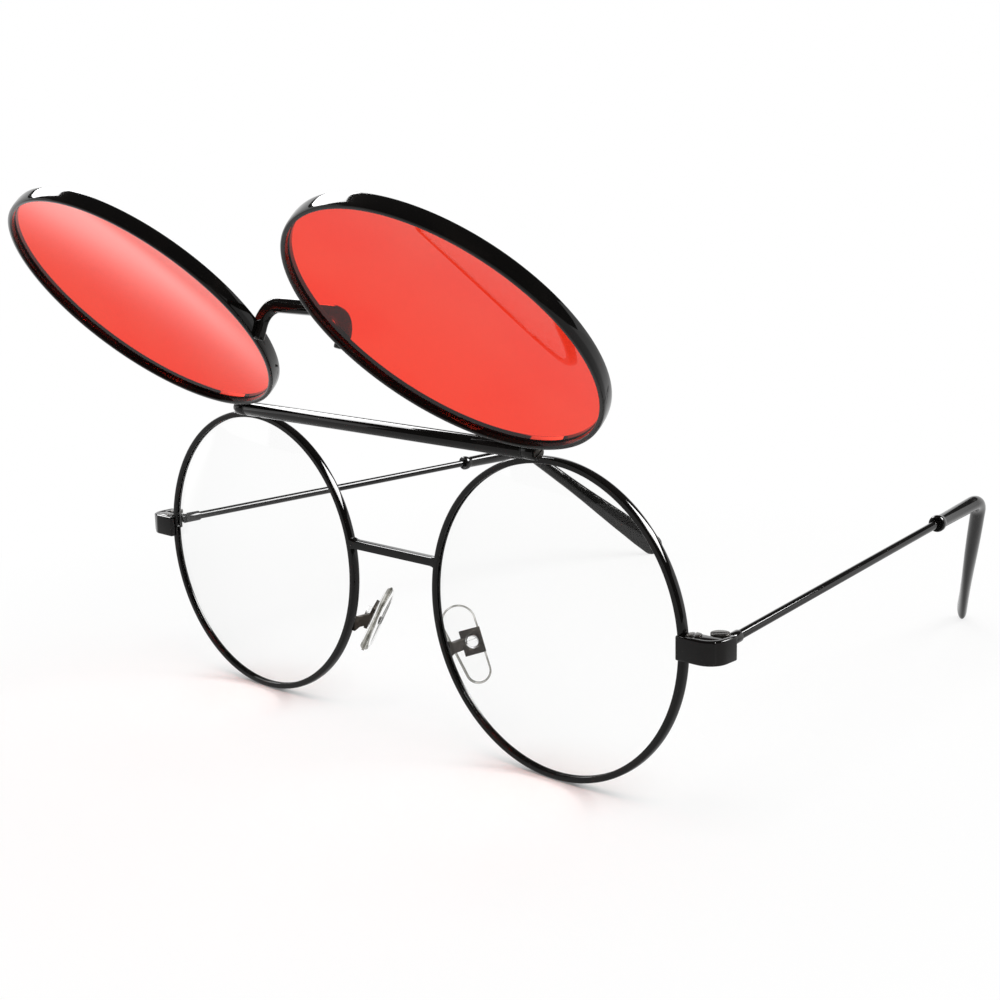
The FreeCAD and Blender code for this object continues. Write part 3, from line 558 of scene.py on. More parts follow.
class Palette:
    """One built material for each slot of the record, and the pieces that the shine boxes light."""

    CLEAR = (Slot.PAD, Slot.CLEAR_LENS, Slot.RED_LENS)

    def __init__(self) -> None:
        """Build every finish."""
        self.left_lit = bpy.data.collections.new("pieces_with_left_shine")
        self.back_lit = bpy.data.collections.new("pieces_with_back_shine")
        finishes = {
            Slot.FRAME: Enamel("gloss_black_enamel"),
            Slot.PAD_ARM: Plating("dark_satin_plating"),
            Slot.SCREW: Plating("blackened_screw_steel", colour=(0.055, 0.05, 0.045, 1),
                                worn=(0.19, 0.175, 0.155, 1), gloss=0.12, grain_mm=0.08),
            Slot.WASHER: Moulding("black_nylon", colour=(0.01, 0.01, 0.01, 1), rubbed=(0.02, 0.02, 0.02, 1),
                                  gloss=0.35),
            Slot.TIP: Moulding("gloss_black_sleeve"),
            Slot.PAD: SoftPad("clear_pad_plastic"),
            Slot.CLEAR_LENS: Pane("clear_lens_plastic"),
            Slot.RED_LENS: Pane("red_lens_plastic", tint=(1.0, 0.052, 0.022, 1), deep=(1.0, 0.04, 0.015, 1),
                                shadow=(1.0, 0.8, 0.77, 1), shine=0.55, index=1.42),
        }
        self.materials = {slot: finish.build() for slot, finish in finishes.items()}

    def shine_on(self, piece: bpy.types.Object, slot: Slot, body: str) -> None:
        """Let the shine boxes light a piece, though not a clear one, and the back box not the flip front.

        Args:
            piece: The piece.
            slot: Its finish.
            body: The body that it rides on.
        """
        if slot not in self.CLEAR:
            self.left_lit.objects.link(piece)
            if body != "flip_front":
                self.back_lit.objects.link(piece)

    def dress(self, slot: Slot, body: str, *names: str) -> None:
        """Give CAD nodes a finish through their material slots.

        Args:
            slot: The finish.
            body: The body that they belong to.
            names: The nodes.
        """
        for name in names:
            node = frame["nodes"][name]
            if not node.material_slots:
                node.data.materials.append(self.materials[slot])
            for holder in node.material_slots:
                holder.material = self.materials[slot]
            self.shine_on(node, slot, body)
            LOG.info("kept %s in %s", name, self.materials[slot].name)


class Workpiece:
    """A mesh in the making, in millimetres, in the frame of the sub-assembly that it belongs to."""

    FLAT_DEGREES = 0.5
    HEAD_SIDES = 40
    SLOT_FLOOR = 0.45
    NEAR_TOP = 0.9
    NEAR_RIM = 0.97
    ROUND_HEIGHT = 0.4
    ROUND_RADIUS = 0.3

    def __init__(self) -> None:
        """Start with nothing on the bench."""
        self.mesh = bmesh.new()

    @classmethod
    def softened(cls, node: str, width: float) -> "Workpiece":
        """A merged copy of a CAD node with its sharp edges rounded.

        Args:
            node: The node.
            width: How much comes off the edges.

        Returns:
            The copy, in millimetres in the part's own frame.
        """
        work = cls()
        work.mesh.from_mesh(frame["nodes"][node].data)
        bmesh.ops.scale(work.mesh, vec=(1 / MM,) * 3, verts=work.mesh.verts)
        bmesh.ops.remove_doubles(work.mesh, verts=work.mesh.verts, dist=MERGE_MM)
        bmesh.ops.dissolve_limit(work.mesh, angle_limit=math.radians(cls.FLAT_DEGREES),
                                 verts=work.mesh.verts, edges=work.mesh.edges)
        work.soften(work.sharp_edges(), width, segments=2)
        return work

    def add(self, other: "Workpiece", where: Matrix = Matrix()) -> None:
        """Take in another workpiece.

        Args:
            other: The workpiece, which is used up.
            where: Where it goes.
        """
        bmesh.ops.transform(other.mesh, matrix=where, verts=other.mesh.verts)
        loose = bpy.data.meshes.new("loose")
        other.mesh.to_mesh(loose)
        other.mesh.free()
        self.mesh.from_mesh(loose)
        bpy.data.meshes.remove(loose)

    def face(self, points: Sequence[Point]) -> BMFace:
        """A flat face through points in order."""
        return self.mesh.faces.new([self.mesh.verts.new(point) for point in points])

    def round_corners(self, verts: Iterable[BMVert], radius: float) -> None:
        """Round corners of a flat outline."""
        bmesh.ops.bevel(self.mesh, geom=list(verts), offset=radius, segments=3, profile=0.5,
                        affect="VERTICES", material=-1, clamp_overlap=True)

    def soften(self, edges: Iterable[BMEdge], width: float, segments: int = 3) -> None:
        """Round edges with a number of facets."""
        bmesh.ops.bevel(self.mesh, geom=list(edges), offset=width, segments=segments, profile=0.5,
                        affect="EDGES", material=-1, clamp_overlap=True)

    def sharp_edges(self, degrees: float = 35.0) -> list[BMEdge]:
        """The edges where two faces meet at more than an angle."""
        limit = math.radians(degrees)
        return [edge for edge in self.mesh.edges if edge.is_manifold and edge.calc_face_angle() > limit]

    def block(self, low: Point, high: Point, edge: float) -> "Workpiece":
        """A block with rounded edges.

        Args:
            low: Its lowest corner.
            high: Its highest corner.
            edge: How round its edges are.

        Returns:
            This workpiece.
        """
        middle = (Vector(low) + Vector(high)) / 2
        spans = Vector(high) - Vector(low)
        made = bmesh.ops.create_cube(self.mesh, size=1.0, matrix=Matrix.Translation(middle)
                                     @ Matrix.Diagonal((*spans, 1)))
        self.soften({edge_of for vert in made["verts"] for edge_of in vert.link_edges}, edge)
        return self

    def lathe(self, face: BMFace, axis: Point, steps: int, gap: float = 0.0) -> None:
        """Turn a flat section round an axis through the origin.

        Args:
            face: The section.
            axis: The axis.
            steps: How many steps a full turn has.
            gap: The angle, in radians, that is left open.
        """
        made = bmesh.ops.spin(self.mesh, geom=[*face.verts, *face.edges], cent=(0, 0, 0), axis=axis,
                              angle=2 * math.pi - gap, steps=steps, use_merge=gap == 0)
        if gap:
            bmesh.ops.edgeloop_fill(self.mesh, edges=picked(made["geom_last"], BMEdge))
        else:
            bmesh.ops.delete(self.mesh, geom=[face], context="FACES_ONLY")

    def arc(self, start: Point, centre: Point, angle: float, steps: int) -> tuple[BMVert, BMVert]:
        """Draw an arc in the XY plane.

        Args:
            start: Its first point.
            centre: Its centre.
            angle: The angle in radians.
            steps: How many steps.

        Returns:
            The first and the last point.
        """
        first = self.mesh.verts.new(start)
        made = bmesh.ops.spin(self.mesh, geom=[first], cent=centre, axis=UP, angle=angle, steps=steps)
        return first, picked(made["geom_last"], BMVert)[0]

    def raise_faces(self, faces: Sequence[BMFace], height: float, keep: bool) -> list[BMFace]:
        """Draw flat faces up along Z.

        Args:
            faces: The faces.
            height: How far.
            keep: Whether they also stay where they were.

        Returns:
            The raised faces.
        """
        made = bmesh.ops.extrude_face_region(self.mesh, geom=faces, use_keep_orig=keep)["geom"]
        bmesh.ops.translate(self.mesh, vec=(0, 0, height), verts=picked(made, BMVert))
        return picked(made, BMFace)

    def cut(self, place: Point, normal: Point) -> None:
        """Cut every face along a plane."""
        everything = [*self.mesh.verts, *self.mesh.edges, *self.mesh.faces]
        bmesh.ops.bisect_plane(self.mesh, geom=everything, plane_co=place, plane_no=normal)

    def rim(self) -> list[BMEdge]:
        """The edges that are still open."""
        return [edge for edge in self.mesh.edges if edge.is_boundary]

    def screw(self, radius: float, height: float, shank: float, length: float,
              slot: float = 0.28) -> "Workpiece":
        """A slotted screw that points down, with the underside of its head at z = 0.

        Args:
            radius: The head's radius.
            height: The head's height.
            shank: The shank's radius.
            length: The shank's length.
            slot: The slot's width.

        Returns:
            This workpiece.
        """
        mesh = self.mesh
        floor = height * self.SLOT_FLOOR
        bmesh.ops.create_circle(mesh, cap_ends=True, cap_tris=False, segments=self.HEAD_SIDES, radius=radius,
                                matrix=Matrix.Translation((0, 0, floor)))
        for place in (slot / 2, -slot / 2):
            self.cut((place, 0, 0), (1, 0, 0))
        cheeks = [face for face in mesh.faces if abs(face.calc_center_median().x) > slot / 2]
        self.raise_faces(cheeks, height - floor, keep=False)
        bmesh.ops.delete(mesh, geom=[face for face in cheeks if face.is_valid], context="FACES_ONLY")
        for level, across in ((-floor, 1.0), (0.0, shank / radius), (-length, 1.0)):
            ring = picked(bmesh.ops.extrude_edge_only(mesh, edges=self.rim())["geom"], BMVert)
            bmesh.ops.scale(mesh, vec=(across, across, 1), verts=ring)
            bmesh.ops.translate(mesh, vec=(0, 0, level), verts=ring)
        bmesh.ops.edgeloop_fill(mesh, edges=self.rim())
        top = [edge for edge in mesh.edges if all(
            vert.co.z > height * self.NEAR_TOP and vert.co.xy.length > radius * self.NEAR_RIM
            for vert in edge.verts)]
        self.soften(top, min(height * self.ROUND_HEIGHT, radius * self.ROUND_RADIUS))
        return self

    def finished(self, name: str, where: Matrix, sharp: float) -> bpy.types.Mesh:
        """Turn the workpiece into a mesh in the part's frame.

        Args:
            name: The mesh's name.
            where: From this workpiece's frame to the part's, in metres.
            sharp: The angle in degrees above which an edge stays sharp.

        Returns:
            The mesh.
        """
        bmesh.ops.remove_doubles(self.mesh, verts=self.mesh.verts, dist=MERGE_MM)
        bmesh.ops.transform(self.mesh, matrix=where, verts=self.mesh.verts)
        bmesh.ops.recalc_face_normals(self.mesh, faces=self.mesh.faces)
        mesh = bpy.data.meshes.new(name)
        self.mesh.to_mesh(mesh)
        self.mesh.free()
        mesh.shade_smooth()
        mesh.set_sharp_from_angle(angle=math.radians(sharp))
        return mesh


class Sweep:
    """A section carried along a path. Each section's frame has X along the path."""

    ACROSS = Matrix(((0, 0, 1, 0), (1, 0, 0, 0), (0, 1, 0, 0), (0, 0, 0, 1)))
    SIDES = 40

    def __init__(self, work: Workpiece, start: Matrix, half: Pair, corner: float | None = None) -> None:
        """Draw the first section.

        Args:
            work: The empty workpiece that it is drawn on.
            start: The section's frame.
            half: Its half width along the frame's Y and its half height along Z.
            corner: The corner radius of a flat section, or None for a round one.
        """
        self.work = work
        self.frame = start
        self.half = half
        flat = start @ self.ACROSS @ Matrix.Diagonal((*half, 1, 1))
        if corner is None:
            bmesh.ops.create_circle(work.mesh, cap_ends=True, segments=self.SIDES, radius=1.0, matrix=flat)
        else:
            made = bmesh.ops.create_grid(work.mesh, x_segments=1, y_segments=1, size=1.0, matrix=flat)
            work.round_corners(made["verts"], corner)
        first = work.mesh.faces[:][0]
        self.caps = [first]
        self.edges = list(first.edges)

    def to(self, place: Matrix, half: Pair) -> "Sweep":
        """Go straight on to another section.

        Args:
            place: Its frame.
            half: Its half width and half height.

        Returns:
            This sweep.
        """
        made = bmesh.ops.extrude_edge_only(self.work.mesh, edges=self.edges)["geom"]
        verts = picked(made, BMVert)
        around = set(verts)
        links = {edge for vert in verts for edge in vert.link_edges}
        self.edges = [edge for edge in links if set(edge.verts) <= around]
        grow = Matrix.Diagonal((1, half[0] / self.half[0], half[1] / self.half[1], 1))
        bmesh.ops.transform(self.work.mesh, matrix=place @ grow @ self.frame.inverted(), verts=verts)
        self.frame = place
        self.half = half
        return self

    def ahead(self, distance: float, half: Pair | None = None) -> "Sweep":
        """Go on along the section's own direction, to another half width and half height if they change."""
        return self.to(self.frame @ Matrix.Translation((distance, 0, 0)), half or self.half)

    def bend(self, centre: Point, angle: float, steps: int) -> "Sweep":
        """Go round a bend about an upright axis.

        Args:
            centre: A point on the bend's axis.
            angle: The angle in radians.
            steps: How many steps.

        Returns:
            This sweep.
        """
        verts = {vert for edge in self.edges for vert in edge.verts}
        made = bmesh.ops.spin(self.work.mesh, geom=[*verts, *self.edges], cent=centre, axis=UP, angle=angle,
                              steps=steps)
        self.edges = picked(made["geom_last"], BMEdge)
        there = Matrix.Translation(centre)
        self.frame = there @ Matrix.Rotation(angle, 4, UP) @ there.inverted() @ self.frame
        return self

    def close(self, edge: float = 0.0) -> None:
        """Close the last section, and round the edges of both ends.

        Args:
            edge: How round the ends' edges are.
        """
        self.caps += bmesh.ops.edgeloop_fill(self.work.mesh, edges=self.edges)["faces"]
        if edge:
            self.work.soften({rim for cap in self.caps for rim in cap.edges}, edge)


def box_centre(name: str) -> Vector:
    """The centre of a CAD node's box, in metres."""
    low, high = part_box(name)
    return (low + high) / 2


@dataclass
class Layout:
    """The sizes that the sub-assemblies share, in millimetres, and the frames that they are drawn in."""

    spacing: float = 68.4
    radius: float = 25.0
    flip_offset: float = 0.3
    flip_drop: float = 26.9
    wall: float = 1.1
    flip_wall: float = 0.85
    groove_width: float = 0.9
    groove_depth: float = 0.45

    @property
    def middle(self) -> Vector:
        """The point between the lens centres, in metres."""
        return Vector((0, box_centre("nose_bridge").y, box_centre("right_clear_lens").z))

    @property
    def front(self) -> Matrix:
        """From the fixed front's millimetres to the part's metres."""
        return Matrix.Translation(self.middle) @ TO_METRES

    @property
    def flip(self) -> Matrix:
        """From the flip front's millimetres to the part's metres, with the flip front raised.

        Returns:
            The frame, which lies on the flip hinge.
        """
        hinge = next(item for item in frame["joints"] if item["name"] == "flip_hinge")
        turn = Matrix.Rotation(math.radians(-hinge["range_deg"][0]), 4, Vector(hinge["axis"]))
        return Matrix.Translation(hinge["pos_m"]) @ turn @ TO_METRES

    def half(self, side: Side) -> Matrix:
        """The fixed front's frame for right-hand shapes, mirrored for the left side."""
        return side.mirror @ self.front

    def lens(self, side: Side) -> Matrix:
        """The frame of a fixed rim."""
        return self.front @ Matrix.Translation((side.value * self.spacing / 2, 0, 0)) @ side.mirror

    def flip_lens(self, side: Side) -> Matrix:
        """The frame of a flip rim."""
        place = (side.value * self.spacing / 2, -self.flip_offset, -self.flip_drop)
        return self.flip @ Matrix.Translation(place) @ side.mirror

    def gap(self, height: float) -> float:
        """Half the gap between the fixed rims at a height above or below their centres."""
        return self.spacing / 2 - math.sqrt(self.radius ** 2 - height ** 2)


@dataclass
class Assembly:
    """The base of every sub-assembly: its place among the others, and the materials."""

    layout: Layout
    palette: Palette

    def put(self, work: Workpiece, name: str, where: Matrix, slot: Slot, body: str, replaces: str,
            sharp: float = 38.0) -> None:
        """Finish a piece and put it on its body.

        Args:
            work: The workpiece, which is used up.
            name: The piece's name.
            where: From the workpiece's frame to the part's, in metres.
            slot: Its finish.
            body: The body that it rides on.
            replaces: The CAD node that it stands for.
            sharp: The angle in degrees above which an edge stays sharp.
        """
        mesh = work.finished(name, where, sharp)
        mesh.materials.append(self.palette.materials[slot])
        piece = show(name, mesh)
        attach(piece, body)
        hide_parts(replaces)
        self.palette.shine_on(piece, slot, body)
        LOG.info("made %s in %s, %d faces", name, slot.value, len(mesh.polygons))

    def put_softened(self, node: str, slot: Slot, body: str, width: float) -> None:
        """Put a CAD node's softened copy in its place."""
        self.put(Workpiece.softened(node, width), f"{node}_dressed", TO_METRES, slot, body, node)


@dataclass
class Eyewires(Assembly):
    """The four round rims, drawn from flat wire with a crowned outside and a lens groove inside."""

    depth: float = 1.6
    flip_depth: float = 2.5
    crown: float = 0.12
    crown_flat: float = 0.4
    edge: float = 0.2
    split: float = 0.2
    split_height: float = 1.0
    steps: int = 192

    def section(self, work: Workpiece, wall: float, depth: float) -> BMFace:
        """Draw the wire's section in the XY plane.

        Args:
            work: The empty workpiece that it is drawn on.
            wall: The wire's radial thickness.
            depth: Its depth from front to back.

        Returns:
            The section.
        """
        outer = self.layout.radius
        inner = outer - wall
        half = depth / 2
        flat = half * self.crown_flat
        groove = self.layout.groove_width / 2
        face = work.face([
            (inner, -half, 0), (outer - self.crown, -half, 0), (outer, -flat, 0), (outer, flat, 0),
            (outer - self.crown, half, 0), (inner, half, 0), (inner, groove, 0),
            (inner + self.layout.groove_depth, 0, 0), (inner, -groove, 0)])
        work.round_corners([vert for vert in face.verts if abs(vert.co.y) > half - MERGE_MM], self.edge)
        return work.mesh.faces[:][0]

    def build(self) -> None:
        """Make all four rims, the fixed ones split behind the endpiece."""
        gap = self.split / self.layout.radius
        start = math.asin(self.split_height / self.layout.radius) + gap / 2
        for side in Side:
            fixed = Workpiece()
            section = self.section(fixed, self.layout.wall, self.depth)
            bmesh.ops.rotate(fixed.mesh, verts=fixed.mesh.verts, cent=(0, 0, 0),
                             matrix=Matrix.Rotation(-start, 3, "Y"))
            fixed.lathe(section, (0, -1, 0), self.steps, gap)
            self.put(fixed, f"{side.word}_eyewire", self.layout.lens(side), Slot.FRAME, "front",
                     f"{side.word}_rim")
            flip = Workpiece()
            flip.lathe(self.section(flip, self.layout.flip_wall, self.flip_depth), (0, 1, 0), self.steps)
            self.put(flip, f"{side.word}_flip_eyewire", self.layout.flip_lens(side), Slot.FRAME,
                     "flip_front", f"{side.word}_flip_rim")


@dataclass
class Lenses(Assembly):
    """Two clear and two red meniscus lenses with bevelled edges."""

    seat: float = 0.08
    clear_curve: float = 150.0
    red_curve: float = 144.0
    thickness: float = 0.9
    arc_steps: int = 9
    steps: int = 160
    sharp: float = 30.0

    def turn(self, wall: float, curve: float) -> Workpiece:
        """Make one lens.

        Args:
            wall: The radial thickness of its rim.
            curve: The radius that its middle surface is curved to.

        Returns:
            The lens, in its rim's frame.
        """
        work = Workpiece()
        mesh = work.mesh
        edge = self.layout.radius - wall + self.seat
        bevel = self.layout.groove_width / 2 - self.seat
        centre = math.sqrt(curve ** 2 - edge ** 2)
        ends = []
        for radius in (curve + self.thickness / 2, curve - self.thickness / 2):
            angle = math.asin(edge / radius)
            ends.append(work.arc((0, centre - radius, 0), (0, centre, 0), angle, self.arc_steps)[1])
        tip = edge + self.layout.groove_depth - self.seat
        bevelled = [mesh.verts.new(point) for point in ((edge, -bevel, 0), (tip, 0, 0), (edge, bevel, 0))]
        rim = [ends[0], *bevelled, ends[1]]
        for pair in zip(rim, rim[1:]):
            mesh.edges.new(pair)
        bmesh.ops.spin(mesh, geom=[*mesh.verts, *mesh.edges], cent=(0, 0, 0), axis=(0, 1, 0),
                       angle=2 * math.pi, steps=self.steps, use_merge=True)
        return work

    def build(self) -> None:
        """Make all four lenses."""
        layout = self.layout
        for side in Side:
            self.put(self.turn(layout.wall, self.clear_curve), f"{side.word}_clear_pane",
                     layout.lens(side), Slot.CLEAR_LENS, "front", f"{side.word}_clear_lens", self.sharp)
            self.put(self.turn(layout.flip_wall, self.red_curve), f"{side.word}_red_pane",
                     layout.flip_lens(side), Slot.RED_LENS, "flip_front", f"{side.word}_red_lens",
                     self.sharp)


@dataclass
class Bridges(Assembly):
    """The straight nose bridge with flared feet, and the arched bridge of the flip front."""

    height: float = 5.1
    bar_depth: float = 1.6
    bar_thickness: float = 1.45
    corner: float = 0.28
    foot_depth: float = 1.02
    foot_flare: float = 1.3
    neck_flare: float = 1.1
    foot_length: float = 0.36
    neck_length: float = 0.54
    sunk: float = 0.35
    strap_edge: float = 0.12
    coat: float = 0.16

    def nose_bridge(self) -> None:
        """Make the straight bar, whose feet widen towards the rims and are sunk into them."""
        work = Workpiece()
        reach = self.layout.gap(self.height)
        bar = (self.bar_depth / 2, self.bar_thickness / 2)
        neck = (bar[0], bar[1] * self.neck_flare)
        foot = (bar[0] * self.foot_depth, bar[1] * self.foot_flare)
        straight = 2 * (reach - self.foot_length - self.neck_length)
        start = section_at((-reach - self.sunk, 0, self.height), (1, 0, 0), (0, 1, 0))
        sweep = Sweep(work, start, foot, self.corner)
        for distance, half in ((self.sunk, foot), (self.foot_length, neck), (self.neck_length, bar),
                               (straight, bar), (self.neck_length, neck), (self.foot_length, foot),
                               (self.sunk, foot)):
            sweep.ahead(distance, half)
        sweep.close()
        self.put(work, "straight_nose_bridge", self.layout.front, Slot.FRAME, "front", "nose_bridge")

    def flip_bridge(self) -> None:
        """Soften the arched strap and give it the thickness of its coat."""
        work = Workpiece.softened("flip_bridge", self.strap_edge)
        work.mesh.normal_update()
        for vert in work.mesh.verts:
            vert.co += vert.normal * self.coat
        self.put(work, "arched_flip_bridge", TO_METRES, Slot.FRAME, "flip_front", "flip_bridge")

    def build(self) -> None:
        """Make both bridges."""
        self.nose_bridge()
        self.flip_bridge()


@dataclass
class FlipHinge(Assembly):
    """The tube over the rims and its saddles, with the pins, washers and end barrels of the flip front."""

    reach: float = 3.0
    rise: float = 26.1
    tube_radius: float = 1.25
    tube_length: float = 63.8
    tube_edge: float = 0.18
    tube_steps: int = 64
    bore: float = 0.57
    pin_radius: float = 0.55
    pin_length: float = 6.5
    pin_turn: float = 0.6
    head_radius: float = 0.95
    head_height: float = 0.4
    head_x: float = 34.45
    saddle_edge: float = 0.12
    knuckle_edge: float = 0.14

    @property
    def axis(self) -> Matrix:
        """From the hinge line's millimetres to the part's metres."""
        return self.layout.front @ Matrix.Translation((0, -self.reach, self.rise))

    def tube(self) -> None:
        """Turn the tube, with its cut ends softened."""
        work = Workpiece()
        half = self.tube_length / 2
        face = work.face([(-half, self.bore, 0), (-half, self.tube_radius, 0), (half, self.tube_radius, 0),
                          (half, self.bore, 0)])
        work.round_corners([vert for vert in face.verts if vert.co.y > self.bore + MERGE_MM], self.tube_edge)
        work.lathe(work.mesh.faces[:][0], (1, 0, 0), self.tube_steps)
        self.put(work, "flip_hinge_tube", self.axis, Slot.FRAME, "front", "top_bar")

    def pins(self) -> None:
        """Make the slotted pins at the tube's ends."""
        turn = Matrix.Rotation(math.pi / 2, 4, "Y") @ Matrix.Rotation(self.pin_turn, 4, "Z")
        place = self.axis @ Matrix.Translation((self.head_x, 0, 0)) @ turn
        for side in Side:
            work = Workpiece().screw(self.head_radius, self.head_height, self.pin_radius, self.pin_length)
            self.put(work, f"{side.word}_pivot_pin", side.mirror @ place, Slot.SCREW, "front",
                     f"{side.word}_pivot_screw")

    def build(self) -> None:
        """Make the whole hinge."""
        self.tube()
        self.pins()
        for side in Side:
            self.put_softened(f"{side.word}_bar_saddle", Slot.FRAME, "front", self.saddle_edge)
            self.put_softened(f"{side.word}_flip_knuckle", Slot.FRAME, "flip_front", self.knuckle_edge)
        self.palette.dress(Slot.WASHER, "front", "right_pivot_washer", "left_pivot_washer")


@dataclass(frozen=True)
class Fastener:
    """A slotted screw: its place, its head's and its shank's radius, and how far its slot is turned."""

    place: Pair
    head: float
    shank: float
    turn: float


@dataclass
class Endpieces(Assembly):
    """The bent straps at the front's ends, with the closing blocks, hinge barrels and screws behind them."""

    height: float = 1.0
    thickness: float = 1.0
    width: float = 3.6
    corner: float = 0.24
    end_edge: float = 0.22
    lap_x: float = 58.4
    out_x: float = 65.2
    front_y: float = -1.8
    end_y: float = 3.6
    bend: float = 3.0
    bend_steps: int = 14
    web_low: Triple = (59.2, -1.0, -0.6)
    web_high: Triple = (64.6, 1.45, 2.78)
    web_edge: float = 0.3
    block_edge: float = 0.13
    screw_top: float = 2.35
    head_height: float = 0.56
    shank_length: float = 2.7
    rim_screw: Fastener = Fastener((60.35, 0.15), head=1.1, shank=0.45, turn=0.5)
    hinge_screw: Fastener = Fastener((62.7, 3.0), head=1.4, shank=0.5, turn=-0.7)

    def strap(self, side: Side) -> None:
        """Bend one strap, with the web inside its bend.

        Args:
            side: Which side.
        """
        work = Workpiece()
        middle_y = self.front_y + self.thickness / 2
        start = section_at((self.lap_x, middle_y, self.height), (1, 0, 0), (0, 1, 0))
        strap = Sweep(work, start, (self.thickness / 2, self.width / 2), self.corner)
        bend_x = self.out_x - self.bend
        strap.ahead(bend_x - self.lap_x)
        strap.bend((bend_x, self.front_y + self.bend, self.height), math.pi / 2, self.bend_steps)
        strap.ahead(self.end_y - self.front_y - self.bend)
        strap.close(self.end_edge)
        work.add(Workpiece().block(self.web_low, self.web_high, self.web_edge))
        self.put(work, f"{side.word}_endpiece_strap", self.layout.half(side), Slot.FRAME, "front",
                 f"{side.word}_endpiece")

    def screws(self, side: Side) -> None:
        """Make the screw that closes the rim and the screw that the temple turns on.

        Args:
            side: Which side.
        """
        for node, screw in (("rim_screw", self.rim_screw), ("hinge_screw", self.hinge_screw)):
            work = Workpiece().screw(screw.head, self.head_height, screw.shank, self.shank_length)
            spot = Matrix.Translation((*screw.place, self.screw_top)) @ Matrix.Rotation(screw.turn, 4, "Z")
            self.put(work, f"{side.word}_{node}_slotted", self.layout.half(side) @ spot, Slot.SCREW, "front",
                     f"{side.word}_{node}")

    def build(self) -> None:
        """Make both endpieces."""
        for side in Side:
            self.strap(side)
            for node in ("upper_closing_block", "lower_closing_block", "front_hinge"):
                self.put_softened(f"{side.word}_{node}", Slot.FRAME, "front", self.block_edge)
            self.screws(side)


